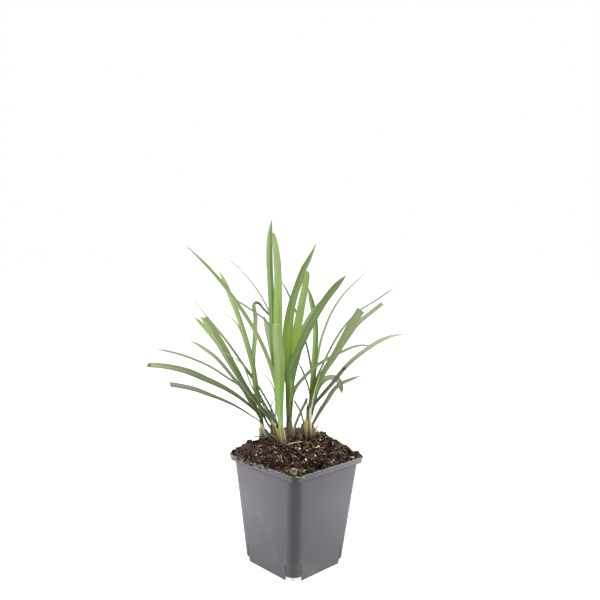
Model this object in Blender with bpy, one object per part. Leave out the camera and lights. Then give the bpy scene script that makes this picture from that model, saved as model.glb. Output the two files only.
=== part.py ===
"""Liriope growing in a square nursery pot.

Metres, +Z up, the pot's sides along X and Y, the origin at the middle of the pot's underside.
Sizes below are in millimetres and are scaled where the meshes are made.
"""
import math
import random

import bmesh
import bpy
import numpy as np

MM = 0.001
GAP = 0.3                  # clearance between pieces that touch

# The pot: a thin moulded shell with a stepped rim
POT_HEIGHT = 100.0
RIM_SIDE = 90.0
RIM_HEIGHT = 6.0
RIM_CORNER = 5.5
TOP_SIDE = 85.2            # body just under the rim
BASE_SIDE = 67.5           # body at the floor
BODY_CORNER = 10.0
WALL = 1.1
FLOOR = 1.5
CORNER_LIFT = 4.3          # the floor's four corners stand this far off the ground
CHANNEL_START = 27.0       # the drain channel under each corner, from the pot's axis
CHANNEL_WIDTH = 13.6
SLOT_WIDTH = 1.2           # drain slots either side of each corner
SLOT_TOP = 17.0
SLOT_SHIFT = 1.4           # how far round the corner's curve each slot lies
RING_STEPS = 6             # segments round each of the pot's corners

# The soil: level with the rim, mounded where the plant stands
SOIL_EDGE = 99.4           # soil height along the walls
MOUND_HEIGHT = 13.0
MOUND_CENTRE = (0.0, 15.0)
MOUND_RADIUS = 56.0
EDGE_FALL = 8.0            # the mound dies away over this distance from the walls
CLOD_COUNT = 90
CLOD_HEIGHT = (0.4, 1.4)
CLOD_RADIUS = (2.5, 6.0)
SOIL_RINGS = (0.95, 0.88, 0.79, 0.69, 0.58, 0.46, 0.34, 0.22, 0.10)
SOIL_SIDE_STEPS = 11       # segments along each side of the soil's rings

# The plant: its own frame is turned in the pot, across, away and up from the pot's underside
PLANT_TURN = math.radians(45.3)
BLADE_STEPS = 13
BLADE_THICKNESS = 0.7
BLADE_FOLD = (0.42, 0.14)  # rise of a blade's edges over its half width, at the root and above
ROOT_SHARE = 0.5           # a blade's width at its root, over its full width
STEM_SIDES = 10
SOCKET_DEPTH = 13.0        # how deep a shoot's foot stands in the soil
ROOT_RISE = 2.0            # leaves start inside their stem, this far above the soil
SCALE_STEPS = 3            # the dry scales round each shoot's foot
SCALE_RISE = (5.0, 10.0)
SCALE_SPREAD = (0.5, 1.6)  # how far a scale's tip leans out, over its stem's radius
SCALE_WIDTH = 2.6


def leaf(*places, width, turn=(0, 0), neck=0.7, end="point"):
    """One strap leaf: the places it passes after its shoot, the last being its tip, in the
    plant's frame; its width; how far its face turns from lying over its own course, in
    degrees at the root and the tip; how far up its stem it leaves; and how it ends."""
    return {"places": places, "width": width, "turn": turn, "neck": neck, "end": end}


SHOOTS = {
    "front": {"crown": (-12.5, -2), "radius": 2.7, "height": 18, "top": 1.8, "lean": (1.0, 0.0),
             "scales": 5, "leaves": (
        leaf((-15, -12, 152), (-16, -32, 191), (-19, -58, 227), width=7, turn=(10, 0), end="cut"),
        leaf((-19, 6, 165), (-19, 15, 243), (-26, 24, 303), width=8.5, turn=(-20, -30)),
        leaf((-23, 14, 175), (-27, 37, 249), (-30, 56, 316), width=7.5, turn=(-10, 10)),
        leaf((-19, -5, 159), (-24, -10, 195), (-33, -16, 228), width=5, turn=(20, 30)),
        leaf((-28, -4, 189), (-60, -7, 244), (-100, -10, 288), width=8, turn=(35, 50)),
    )},
    "centre": {"crown": (-7, 4), "radius": 2.3, "height": 36, "top": 1.9, "lean": (-0.5, 1.0),
             "scales": 3, "leaves": (
        leaf((-15, 19, 181), (-33, 39, 219), (-71, 60, 243), width=3),
        leaf((-15, 25, 184), (-34, 53, 234), (-72, 84, 275), width=2.5, turn=(10, 20)),
        leaf((-8, -9, 189), (-2, -27, 244), (12, -46, 292), width=7.5, turn=(-20, 0)),
        leaf((-7, 14, 176), (-1, 30, 221), (8, 48, 267), width=7.5, turn=(10, 20), end="blunt"),
        leaf((-6, -8, 182), (17, -24, 229), (38, -40, 267), width=8.5, turn=(-45, -30)),
        leaf((-5, 15, 170), (5, 29, 209), (27, 44, 243), width=6.5, turn=(20, 35)),
        leaf((5, 7, 169), (34, 11, 191), (68, 14, 200), width=5, turn=(55, 45)),
        leaf((-1, 4, 131), (3, 4, 141), (9, 6, 150), width=3, neck=0.1),
    )},
    "east": {"crown": (11, 16), "radius": 3.2, "height": 14, "top": 2.4, "lean": (1.0, 0.0),
             "scales": 9, "leaves": (
        leaf((15, 25, 166), (17, 37, 211), (6, 50, 254), width=5, turn=(10, 30)),
        leaf((11, 27, 170), (0, 42, 217), (-21, 58, 261), width=2.5, turn=(20, 20)),
        leaf((11, 14, 145), (7, 12, 167), (-1, 10, 186), width=2.5),
        leaf((18, 35, 175), (35, 61, 229), (75, 88, 272), width=3.5, turn=(0, -20)),
        leaf((21, 30, 174), (49, 46, 221), (94, 62, 254), width=3),
        leaf((19, 5, 165), (37, -11, 202), (53, -30, 238), width=8, turn=(-20, -40), end="cut"),
        leaf((24, 21, 166), (48, 26, 206), (79, 32, 238), width=6, turn=(15, 30), end="cut"),
        leaf((29, 7, 164), (58, -5, 198), (92, -18, 216), width=6, turn=(50, 60), neck=0.3),
        leaf((16, 25, 145), (28, 33, 165), (43, 42, 150), width=5, turn=(20, 40), neck=0.3),
        leaf((25, 2, 140), (35, -16, 165), (53, -36, 178), width=4.5, turn=(20, 0), neck=0.1),
        leaf((5, 15, 130), (1, 14, 139), (-5, 12, 148), width=2.5, turn=(40, 40), neck=0.1),
    )},
    "west": {"crown": (-32, 22), "radius": 2.2, "height": 14, "top": 1.7, "lean": (-0.5, 0.5),
             "scales": 4, "leaves": (
        leaf((-56, 6, 141), (-83, -16, 161), (-109, -40, 172), width=5, turn=(-60, -60), neck=0.1, end="cut"),
        leaf((-59, 17, 151), (-98, 11, 171), (-139, 4, 179), width=7, turn=(-45, -60), neck=0.2, end="cut"),
        leaf((-47, 12, 151), (-71, 0, 182), (-97, -14, 205), width=5, turn=(-60, -60), neck=0.3),
        leaf((-49, 23, 154), (-72, 24, 191), (-99, 26, 222), width=4, turn=(-20, -20)),
        leaf((-43, 22, 167), (-58, 32, 217), (-78, 40, 265), width=7, turn=(-10, -30)),
    )},
    "midwest": {"crown": (-21, 15), "radius": 2.4, "height": 12, "top": 1.9, "lean": (-0.5, 0.0),
             "scales": 5, "leaves": (
        leaf((-42, 1, 154), (-63, -20, 193), (-80, -44, 229), width=9, turn=(20, 35), end="cut"),
        leaf((-46, 39, 147), (-91, 48, 173), (-140, 58, 185), width=3, turn=(-20, -20)),
        leaf((-41, 36, 153), (-71, 54, 195), (-106, 74, 232), width=4, turn=(0, 20)),
        leaf((-29, 27, 137), (-44, 38, 158), (-59, 50, 177), width=3, turn=(20, 30)),
        leaf((-21, 30, 135), (-25, 45, 154), (-41, 60, 168), width=2.5, turn=(40, 50)),
        leaf((-23, 13, 129), (-25, 13, 140), (-20, 14, 150), width=3, turn=(50, 50)),
        leaf((-38, 35, 148), (-43, 47, 192), (-43, 57, 221), (-42, 65, 233), (-36, 69, 229), (-28, 72, 219),
             width=4.5, turn=(10, 75)),
        leaf((-36, 35, 150), (-51, 56, 190), (-79, 76, 222), width=3, turn=(20, 30)),
    )},
}


def clear_scene():
    """Empty the scene of whatever it starts with."""
    for thing in list(bpy.data.objects):
        bpy.data.objects.remove(thing, do_unlink=True)


def material(name, colour, roughness):
    """A plain Principled material."""
    made = bpy.data.materials.new(name)
    made.use_nodes = True
    shader = made.node_tree.nodes["Principled BSDF"]
    shader.inputs["Base Color"].default_value = (*colour, 1.0)
    shader.inputs["Roughness"].default_value = roughness
    shader.inputs["Metallic"].default_value = 0.0
    return made


def make_object(name, points, faces):
    """An object from points in millimetres, with its faces turned outwards."""
    mesh = bpy.data.meshes.new(name)
    mesh.from_pydata([tuple(p) for p in np.asarray(points) * MM], [], faces)
    work = bmesh.new()
    work.from_mesh(mesh)
    bmesh.ops.recalc_face_normals(work, faces=work.faces)
    work.to_mesh(mesh)
    work.free()
    made = bpy.data.objects.new(name, mesh)
    bpy.context.scene.collection.objects.link(made)
    return made


def apply_modifiers(target):
    """Turn an object's modifiers into its mesh."""
    evaluated = target.evaluated_get(bpy.context.evaluated_depsgraph_get())
    mesh = bpy.data.meshes.new_from_object(evaluated)
    target.modifiers.clear()
    target.data = mesh


def combine(target, tools, operation):
    """Join the tools to the target or cut them from it, then remove them."""
    group = bpy.data.collections.new("tools")
    bpy.context.scene.collection.children.link(group)
    for tool in tools:
        group.objects.link(tool)
    boolean = target.modifiers.new("combine", "BOOLEAN")
    boolean.operation = operation
    boolean.operand_type = "COLLECTION"
    boolean.collection = group
    boolean.solver = "EXACT"
    apply_modifiers(target)
    for tool in tools:
        bpy.data.objects.remove(tool, do_unlink=True)
    bpy.data.collections.remove(group)
    return target


def keep_outer_shell(target):
    """Drop whatever isn't joined to an object's largest piece: the skins of hollows that
    crossing blades have sealed, and loose scraps."""
    work = bmesh.new()
    work.from_mesh(target.data)
    unseen = set(work.verts)
    pieces = []
    while unseen:
        front = [unseen.pop()]
        piece = set(front)
        while front:
            for edge in front.pop().link_edges:
                for vertex in edge.verts:
                    if vertex in unseen:
                        unseen.remove(vertex)
                        piece.add(vertex)
                        front.append(vertex)
        pieces.append(piece)
    pieces.sort(key=len)
    bmesh.ops.delete(work, geom=[v for piece in pieces[:-1] for v in piece], context="VERTS")
    work.to_mesh(target.data)
    work.free()


def rounded_square(side, corner, height, side_steps=1, corner_steps=RING_STEPS):
    """A ring of points round a square with rounded corners, starting on its +X side."""
    flat = side / 2 - corner
    points = []
    for quarter in range(4):
        turn = quarter * math.pi / 2
        line = [(side / 2, -flat + 2 * flat * k / side_steps) for k in range(side_steps)]
        arc = [(flat + corner * math.cos(a), flat + corner * math.sin(a))
               for a in (math.pi / 2 * k / corner_steps for k in range(corner_steps))]
        for x, y in line + arc:
            points.append((x * math.cos(turn) - y * math.sin(turn),
                           x * math.sin(turn) + y * math.cos(turn), height))
    return np.array(points)


def loft(name, rings):
    """A closed solid through rings of equally many points, with a flat face at each end."""
    count = len(rings[0])
    faces = [tuple(range(count))]
    for low in range(0, (len(rings) - 1) * count, count):
        for k in range(count):
            near = (k + 1) % count
            faces.append((low + k, low + near, low + count + near, low + count + k))
    top = (len(rings) - 1) * count
    faces.append(tuple(range(top, top + count)))
    return make_object(name, np.concatenate(rings), faces)


def body_side(height):
    """The body's outer width at a height."""
    return BASE_SIDE + (TOP_SIDE - BASE_SIDE) * height / (POT_HEIGHT - RIM_HEIGHT)


def pot_rings(inset, floor, top):
    """Rings up the pot's outer form drawn in by an inset, from a floor to a top."""
    shoulder = POT_HEIGHT - RIM_HEIGHT + inset
    corner = BODY_CORNER - inset
    return [
        rounded_square(body_side(floor) - 2 * inset, corner, floor),
        rounded_square(body_side(shoulder) - 2 * inset, corner, shoulder - 0.6),
        rounded_square(RIM_SIDE - 0.8 - 2 * inset, RIM_CORNER - inset, shoulder),
        rounded_square(RIM_SIDE - 2 * inset, RIM_CORNER - inset, shoulder + 0.8),
        rounded_square(RIM_SIDE - 2 * inset, RIM_CORNER - inset, top),
    ]


def corner_blocks(wall, top):
    """Four blocks under a top that run out through the pot's corners, the size of the drain
    channels and thicker by a wall."""
    blocks = []
    start = CHANNEL_START - wall
    half = CHANNEL_WIDTH / 2 + wall
    for quarter in range(4):
        turn = quarter * math.pi / 2 + math.pi / 4
        corners = [(start, -half), (60, -half), (60, half), (start, half)]
        ring = np.array([(x * math.cos(turn) - y * math.sin(turn),
                          x * math.sin(turn) + y * math.cos(turn), -10.0) for x, y in corners])
        blocks.append(loft("block", [ring, ring + (0, 0, top + 10)]))
    return blocks


def slot_blocks():
    """Thin upright blocks where each corner's curve meets the flat sides."""
    blocks = []
    across = BASE_SIDE / 2 - BODY_CORNER + SLOT_SHIFT
    for quarter in range(4):
        turn = quarter * math.pi / 2
        for side in (-1, 1):
            middle = side * across
            corners = [(28, middle - SLOT_WIDTH / 2), (40, middle - SLOT_WIDTH / 2),
                       (40, middle + SLOT_WIDTH / 2), (28, middle + SLOT_WIDTH / 2)]
            ring = np.array([(x * math.cos(turn) - y * math.sin(turn),
                              x * math.sin(turn) + y * math.cos(turn), CORNER_LIFT + FLOOR + 0.5)
                             for x, y in corners])
            blocks.append(loft("slot", [ring, ring + (0, 0, SLOT_TOP - CORNER_LIFT - FLOOR - 0.5)]))
    return blocks


def make_pot():
    """The pot: its outer form, less the hollow, with lifted corners and drain slots."""
    pot = loft("pot", pot_rings(0.0, 0.0, POT_HEIGHT))
    combine(pot, corner_blocks(0.0, CORNER_LIFT), "DIFFERENCE")
    hollow = loft("hollow", pot_rings(WALL, FLOOR, POT_HEIGHT + 5))
    combine(hollow, corner_blocks(WALL, CORNER_LIFT + WALL), "DIFFERENCE")
    combine(pot, [hollow], "DIFFERENCE")
    combine(pot, slot_blocks(), "DIFFERENCE")
    return pot


def make_clods():
    """Where the soil's clods lie, how wide and how high each is."""
    draw = random.Random(7)
    half = RIM_SIDE / 2 - 3
    return [(draw.uniform(-half, half), draw.uniform(-half, half),
             draw.uniform(*CLOD_RADIUS), draw.uniform(*CLOD_HEIGHT)) for _ in range(CLOD_COUNT)]


def soil_height(x, y, clods):
    """Height of the soil over a place in the pot: its edge level, the mound round the plant,
    and a rounded bump for each clod."""
    across = x * math.cos(PLANT_TURN) + y * math.sin(PLANT_TURN) - MOUND_CENTRE[0]
    away = y * math.cos(PLANT_TURN) - x * math.sin(PLANT_TURN) - MOUND_CENTRE[1]
    mound = np.clip(1 - (across ** 2 + away ** 2) / MOUND_RADIUS ** 2, 0, 1)
    edge = np.clip((RIM_SIDE / 2 - WALL - np.maximum(np.abs(x), np.abs(y))) / EDGE_FALL, 0, 1)
    bumps = sum(high * np.exp(-((x - cx) ** 2 + (y - cy) ** 2) / wide ** 2)
                for cx, cy, wide, high in clods)
    return SOIL_EDGE + edge * (MOUND_HEIGHT * mound + bumps)


def make_soil():
    """The soil: a block that fills the pot, with a mounded lumpy top."""
    clods = make_clods()
    inset = WALL + GAP
    floor = FLOOR + GAP
    steps = {"side_steps": SOIL_SIDE_STEPS, "corner_steps": 5}
    shoulder = POT_HEIGHT - RIM_HEIGHT + inset
    rim_side = RIM_SIDE - 2 * inset
    rings = [
        rounded_square(body_side(floor) - 2 * inset, BODY_CORNER - inset, floor, **steps),
        rounded_square(body_side(shoulder) - 2 * inset, BODY_CORNER - inset, shoulder - 0.3, **steps),
        rounded_square(rim_side - 0.8, RIM_CORNER - inset, shoulder + 0.5, **steps),
        rounded_square(rim_side, RIM_CORNER - inset, shoulder + 1.2, **steps),
        rounded_square(rim_side, RIM_CORNER - inset, SOIL_EDGE, **steps),
    ]
    for share in SOIL_RINGS:
        corner = share * (RIM_CORNER - inset) + (1 - share) * rim_side * 0.2 * share
        ring = rounded_square(rim_side * share, corner, 0.0, **steps)
        ring[:, 2] = soil_height(ring[:, 0], ring[:, 1], clods)
        rings.append(ring)
    soil = loft("soil", rings)
    combine(soil, corner_blocks(inset, CORNER_LIFT + inset), "DIFFERENCE")
    sockets = []
    for shoot in SHOOTS.values():
        sockets.append(make_stem("socket", shoot, shoot["radius"] + GAP, SOCKET_DEPTH + GAP, 30))
    return combine(soil, sockets, "DIFFERENCE")


def plant_to_pot(points):
    """Turn points from the plant's frame into the pot's."""
    points = np.asarray(points, dtype=float)
    c, s = math.cos(PLANT_TURN), math.sin(PLANT_TURN)
    x, y, z = points[..., 0], points[..., 1], points[..., 2]
    return np.stack([x * c - y * s, x * s + y * c, z], axis=-1)


def ground_at(shoot):
    """Height of the smooth soil at a shoot's foot."""
    x, y, _ = plant_to_pot((*shoot["crown"], 0.0))
    return float(soil_height(x, y, []))


def make_stem(name, shoot, radius, depth, height):
    """An upright round stem at a shoot's crown, from a depth in the soil to a height above it,
    straight below ground and leaning and tapering above when it is the shoot's own."""
    base = ground_at(shoot)
    own = name != "socket"
    levels = [(-depth, 0.0), (1.0, 0.0), (height * 0.5, 0.5), (height, 1.0)]
    angles = np.arange(STEM_SIDES) * 2 * math.pi / STEM_SIDES
    rings = []
    for level, share in levels:
        share = share if own else 0.0
        wide = radius + (shoot["top"] - radius) * share
        middle = np.array(shoot["crown"]) + np.array(shoot["lean"]) * share
        ring = np.stack([middle[0] + wide * np.cos(angles), middle[1] + wide * np.sin(angles),
                         np.full(STEM_SIDES, base + level)], axis=1)
        rings.append(plant_to_pot(ring))
    return loft(name, rings)


def smooth_path(places, shares):
    """Points at shares of the length of a smooth curve through places: cubic between each pair,
    its slopes taken from the parabola through each place and its neighbours."""
    places = np.array(places, dtype=float)
    knots = np.concatenate([[0], np.cumsum(np.linalg.norm(np.diff(places, axis=0), axis=1))])
    slopes = np.gradient(places, knots, axis=0, edge_order=2)
    t = np.linspace(0, knots[-1], 200)
    k = np.clip(np.searchsorted(knots, t, side="right") - 1, 0, len(knots) - 2)
    span = (knots[k + 1] - knots[k])[:, None]
    f = (t - knots[k])[:, None] / span
    curve = ((1 + 2 * f) * (1 - f) ** 2 * places[k] + f * (1 - f) ** 2 * span * slopes[k]
             + f ** 2 * (3 - 2 * f) * places[k + 1] + f ** 2 * (f - 1) * span * slopes[k + 1])
    length = np.concatenate([[0], np.cumsum(np.linalg.norm(np.diff(curve, axis=0), axis=1))])
    wanted = np.asarray(shares) * length[-1]
    return np.stack([np.interp(wanted, length, curve[:, axis]) for axis in range(3)], axis=1)


def blade_widths(shares, width, end):
    """Width along a blade: half at the root, full from a third up, then its kind of end."""
    rise = np.clip(shares / 0.35, 0, 1)
    rise = ROOT_SHARE + (1 - ROOT_SHARE) * rise * rise * (3 - 2 * rise)
    if end == "point":
        fall = 1 - np.clip((shares - 0.45) / 0.55, 0, 1) ** 2.2
        return np.maximum(width * rise * fall, 0.8)
    if end == "blunt":
        fall = 1 - 0.35 * np.clip((shares - 0.6) / 0.4, 0, 1)
        return width * rise * np.where(shares > 0.99, 0.45, fall)
    return width * rise * (1 - 0.1 * shares)


def blade_frame(points, turn):
    """Tangent, side and upper directions along a blade. The side is level and square to the
    blade's course in plan, turned by the given degrees, and squared to the tangent."""
    tangent = np.gradient(points, axis=0)
    tangent /= np.linalg.norm(tangent, axis=1)[:, None]
    course = points[-1] - points[0]
    heading = math.atan2(course[1], course[0]) + math.pi / 2
    angle = heading + np.radians(np.linspace(turn[0], turn[1], len(points)))
    side = np.stack([np.cos(angle), np.sin(angle), np.zeros(len(points))], axis=1)
    side -= tangent * np.sum(side * tangent, axis=1)[:, None]
    side /= np.linalg.norm(side, axis=1)[:, None]
    return tangent, side, np.cross(tangent, side)


def make_blade(points, widths, turn, fold):
    """A thin folded strap: a shallow V of even thickness carried along its points, each face
    split into the same triangles as the face behind it."""
    steps = len(points) - 1
    _, side, upper = blade_frame(points, turn)
    half = widths[:, None] / 2
    left = points - side * half + upper * half * fold[:, None]
    right = points + side * half + upper * half * fold[:, None]
    down = upper * BLADE_THICKNESS
    ring = np.stack([left, points, right, right - down, points - down, left - down], axis=1)
    faces = [(0, 1, 4, 5), (1, 2, 3, 4)]
    for base in range(0, 6 * steps, 6):
        for k in range(6):
            a, b = base + k, base + (k + 1) % 6
            c, d = b + 6, a + 6
            faces += [(a, b, c), (a, c, d)] if k in (0, 2, 3) else [(a, b, d), (b, c, d)]
    last = 6 * steps
    faces += [(last, last + 1, last + 4, last + 5), (last + 1, last + 2, last + 3, last + 4)]
    return make_object("blade", plant_to_pot(ring.reshape(-1, 3)), faces)


def make_leaf(shoot, form):
    """A leaf: from inside its stem, out at its neck and on through its places."""
    shares = np.linspace(0, 1, BLADE_STEPS + 1)
    ground = ground_at(shoot)
    crown, lean, neck = np.array(shoot["crown"]), np.array(shoot["lean"]), form["neck"]
    root = (*crown, ground + ROOT_RISE)
    collar = (*(crown + lean * neck), ground + ROOT_RISE + 1 + (shoot["height"] - ROOT_RISE - 1) * neck)
    points = smooth_path([root, collar, *form["places"]], shares)
    fold = BLADE_FOLD[1] + (BLADE_FOLD[0] - BLADE_FOLD[1]) * (1 - shares) ** 4
    return make_blade(points, blade_widths(shares, form["width"], form["end"]), form["turn"], fold)


def make_scales(shoot):
    """The short dry scales round a shoot's foot, evenly round it with a little wander."""
    draw = random.Random(int(100 + shoot["crown"][0]))
    shares = np.linspace(0, 1, SCALE_STEPS + 1)
    ground = ground_at(shoot)
    scales = []
    for k in range(shoot["scales"]):
        angle = 2 * math.pi * (k + draw.uniform(-0.3, 0.3)) / shoot["scales"]
        out = np.array([math.cos(angle), math.sin(angle)])
        rise = draw.uniform(*SCALE_RISE)
        spread = draw.uniform(*SCALE_SPREAD)
        steps = ((0.55, ROOT_RISE), (1.0, ROOT_RISE + rise * 0.45), (1.0 + spread, ROOT_RISE + rise))
        points = smooth_path([(*(shoot["crown"] + out * shoot["radius"] * reach), ground + high)
                              for reach, high in steps], shares)
        widths = np.maximum(SCALE_WIDTH * (1 - shares ** 2), 0.8)
        scales.append(make_blade(points, widths, (0, 0), np.full(len(shares), 0.3)))
    return scales


def make_shoot(name, shoot):
    """A shoot: its stem with every leaf and scale fused to it."""
    stem = make_stem("shoot_" + name, shoot, shoot["radius"], SOCKET_DEPTH, shoot["height"])
    leaves = [make_leaf(shoot, form) for form in shoot["leaves"]]
    combine(stem, leaves + make_scales(shoot), "UNION")
    keep_outer_shell(stem)
    return stem


def main():
    """Build every piece and give it its material."""
    clear_scene()
    plastic = material("pot_plastic", (0.17, 0.165, 0.175), 0.5)
    peat = material("peat", (0.035, 0.02, 0.015), 0.95)
    leaf_green = material("leaf_green", (0.17, 0.36, 0.05), 0.45)
    make_pot().data.materials.append(plastic)
    make_soil().data.materials.append(peat)
    for name, shoot in SHOOTS.items():
        make_shoot(name, shoot).data.materials.append(leaf_green)


main()
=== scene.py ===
import math
import random

import bmesh
import bpy
import numpy as np
from mathutils import Matrix


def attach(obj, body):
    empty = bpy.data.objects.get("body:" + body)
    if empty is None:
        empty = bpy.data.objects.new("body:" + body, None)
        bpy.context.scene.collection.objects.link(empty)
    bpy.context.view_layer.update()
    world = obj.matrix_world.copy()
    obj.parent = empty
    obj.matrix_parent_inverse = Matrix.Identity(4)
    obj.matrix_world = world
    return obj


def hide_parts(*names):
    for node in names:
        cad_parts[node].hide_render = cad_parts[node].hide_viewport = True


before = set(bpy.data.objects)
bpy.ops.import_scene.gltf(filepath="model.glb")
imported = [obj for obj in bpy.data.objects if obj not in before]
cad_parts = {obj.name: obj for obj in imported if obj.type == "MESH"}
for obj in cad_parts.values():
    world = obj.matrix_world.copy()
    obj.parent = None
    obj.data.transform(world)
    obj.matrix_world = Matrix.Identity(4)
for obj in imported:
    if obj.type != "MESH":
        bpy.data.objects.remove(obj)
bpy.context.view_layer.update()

# Liriope in its square nursery pot. Lengths are in millimetres until a mesh is filled.
mm = 0.001
print("frame loaded", sorted(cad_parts))


# where the camera stands in metres, its turns in degrees, its roll in radians, its lens in millimetres
cameraForm = {"place": (0.4296, -0.4253, 0.2912), "heading": 45.27, "pitch": 4.587,
              "roll": -0.0222, "lens": 40.24, "sensor": 36.0}


def cameraAxes(form):
    # level right, forward and up of a camera turned by its heading and pitched down
    h, p = math.radians(form["heading"]), math.radians(form["pitch"])
    right = np.array([math.cos(h), math.sin(h), 0.0])
    forward = np.array([-math.sin(h) * math.cos(p), math.cos(h) * math.cos(p), -math.sin(p)])
    return right, forward, np.cross(right, forward)


def makeCamera(form):
    # it looks along forward and is rolled about it
    right, forward, up = cameraAxes(form)
    c, s = math.cos(form["roll"]), math.sin(form["roll"])
    axes = np.stack([c * right - s * up, s * right + c * up, -forward], axis=1)
    made = bpy.data.objects.new("camera", bpy.data.cameras.new("camera"))
    made.data.lens = form["lens"]
    made.data.sensor_width = form["sensor"]
    made.matrix_world = Matrix.Translation(form["place"]) @ Matrix(axes.tolist()).to_4x4()
    bpy.context.scene.collection.objects.link(made)
    bpy.context.scene.camera = made


lightForm = {
    "backdrop": 1.0, "sky": 0.92,        # what is seen behind, and what it lights with
    # right, towards the camera, up and side in metres, watts, height aimed at in metres, spread in degrees
    "boxes": {
        "left": (-0.62, 0.05, 0.46, 0.5, 6.4, 0.16, 180),
        "right": (0.62, 0.05, 0.46, 0.5, 5.8, 0.16, 180),
        "top": (-0.10, -0.35, 0.95, 0.7, 4.5, 0.12, 180),
        "lowLeft": (-0.31, -0.06, 0.04, 0.12, 0.115, 0.045, 40),
        "lowRight": (0.31, -0.06, 0.04, 0.12, 0.10, 0.045, 40),
    },
}


def makeLights(form):
    # square lamps that face the plant, and a white world that looks brighter than it lights
    right, forward, _ = cameraAxes(cameraForm)
    level = np.array([forward[0], forward[1], 0.0]) / math.hypot(forward[0], forward[1])
    for name, (across, near, up, side, watts, aim, spread) in form["boxes"].items():
        lamp = bpy.data.lights.new(name, "AREA")
        lamp.size, lamp.energy, lamp.spread = side, watts, math.radians(spread)
        made = bpy.data.objects.new(name, lamp)
        place = right * across - level * near + np.array([0.0, 0.0, up])
        look = np.array([0.0, 0.0, aim]) - place
        z = -look / np.linalg.norm(look)
        x = np.cross([0.0, 1.0, 0.001], z)
        x /= np.linalg.norm(x)
        axes = np.stack([x, np.cross(z, x), z], axis=1)
        made.matrix_world = Matrix.Translation(place.tolist()) @ Matrix(axes.tolist()).to_4x4()
        bpy.context.scene.collection.objects.link(made)
    world = bpy.data.worlds.new("studio")
    world.use_nodes = True
    tree = world.node_tree
    background = tree.nodes["Background"]
    background.inputs["Color"].default_value = (1, 1, 1, 1)
    path = tree.nodes.new("ShaderNodeLightPath")
    strength = tree.nodes.new("ShaderNodeMapRange")
    strength.inputs["To Min"].default_value = form["sky"]
    strength.inputs["To Max"].default_value = form["backdrop"]
    tree.links.new(path.outputs["Is Camera Ray"], strength.inputs["Value"])
    tree.links.new(strength.outputs["Result"], background.inputs["Strength"])
    bpy.context.scene.world = world
    bpy.context.scene.view_settings.view_transform = "Standard"


makeCamera(cameraForm)
makeLights(lightForm)
print("camera and lights made")


def linear(hexColour):
    # a screen colour as light values
    c = np.array([int(hexColour[i:i + 2], 16) for i in (0, 2, 4)]) / 255
    return np.where(c <= 0.04045, c / 12.92, ((c + 0.055) / 1.055) ** 2.4)


def shade(hexColour, share=1.0):
    # the same as a material's colour, darker where the share is under one
    return (*(linear(hexColour) * share), 1.0)


class Wire:
    # a socket that can be added, taken away and multiplied
    def __init__(self, finish, socket):
        self.finish, self.socket = finish, socket

    def join(self, operation, first, second):
        return self.finish.node("Math", {"operation": operation}, {0: first, 1: second})

    def __add__(self, other):
        return self.join("ADD", self, other)

    def __sub__(self, other):
        return self.join("SUBTRACT", self, other)

    def __rsub__(self, other):
        return self.join("SUBTRACT", other, self)

    def __mul__(self, other):
        return self.join("MULTIPLY", self, other)

    __radd__ = __add__
    __rmul__ = __mul__


class Finish:
    # a material and the nodes that vary it; an underscore in an input's name stands for its space
    def __init__(self, name, **fixed):
        self.material = bpy.data.materials.new(name)
        self.material.use_nodes = True
        self.tree = self.material.node_tree
        self.shader = self.tree.nodes["Principled BSDF"]
        for key, value in fixed.items():
            self.shader.inputs[key.replace("_", " ")].default_value = value

    def node(self, kind, settings=None, inputs=None, output=0):
        # a node of a kind, with its settings and then the values or links of its sockets
        made = self.tree.nodes.new("ShaderNode" + kind)
        for key, value in (settings or {}).items():
            if key == "stops":
                self.fillRamp(made.color_ramp, value)
            else:
                setattr(made, key, value)
        for key, value in (inputs or {}).items():
            self.feed(made.inputs[key], value)
        return Wire(self, made.outputs[output])

    def fillRamp(self, ramp, stops):
        while len(ramp.elements) < len(stops):
            ramp.elements.new(0.5)
        for element, (place, colour) in zip(ramp.elements, stops):
            element.position, element.color = place, colour

    def feed(self, socket, value):
        if isinstance(value, Wire):
            self.tree.links.new(value.socket, socket)
        else:
            socket.default_value = value

    def set(self, **inputs):
        for key, value in inputs.items():
            self.feed(self.shader.inputs[key.replace("_", " ")], value)

    def place(self, stretch=(1, 1, 1)):
        # the object's own coordinates, in metres
        here = self.node("TexCoord", output=3)
        return self.node("Mapping", None, {"Vector": here, "Scale": stretch})

    def noise(self, vector, scale, detail=3.0, rough=0.55):
        return self.node("TexNoise", None, {"Vector": vector, "Scale": scale, "Detail": detail,
                                            "Roughness": rough})

    def cells(self, vector, scale, output=0):
        return self.node("TexVoronoi", None, {"Vector": vector, "Scale": scale}, output)

    def step(self, value, low, high):
        # 0 below low, 1 above high, smooth between them; falls where low is the larger
        return self.node("MapRange", {"interpolation_type": "SMOOTHSTEP"},
                         {"Value": value, "From Min": low, "From Max": high, "To Min": 0.0, "To Max": 1.0})

    def mix(self, first, second, factor):
        return self.node("Mix", {"data_type": "RGBA"}, {0: factor, 6: first, 7: second}, 2)

    def scaled(self, colour, value):
        return self.node("VectorMath", {"operation": "SCALE"}, {"Vector": colour, "Scale": value})

    def reading(self, name, output=2):
        # a value stored on the mesh, or with output 0 a colour
        return self.node("Attribute", {"attribute_name": name}, output=output)

    def bump(self, height, distance, strength):
        self.set(Normal=self.node("Bump", None, {"Height": height, "Distance": distance,
                                                 "Strength": strength}))


def gridFaces(rows, columns, closed=False):
    # the four corners of every cell of a grid, row after row
    r = np.arange(rows - 1)[:, None] * columns
    c = np.arange(columns if closed else columns - 1)[None, :]
    n = (c + 1) % columns
    return np.stack([r + c, r + n, r + columns + n, r + columns + c], axis=-1).reshape(-1, 4)


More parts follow.
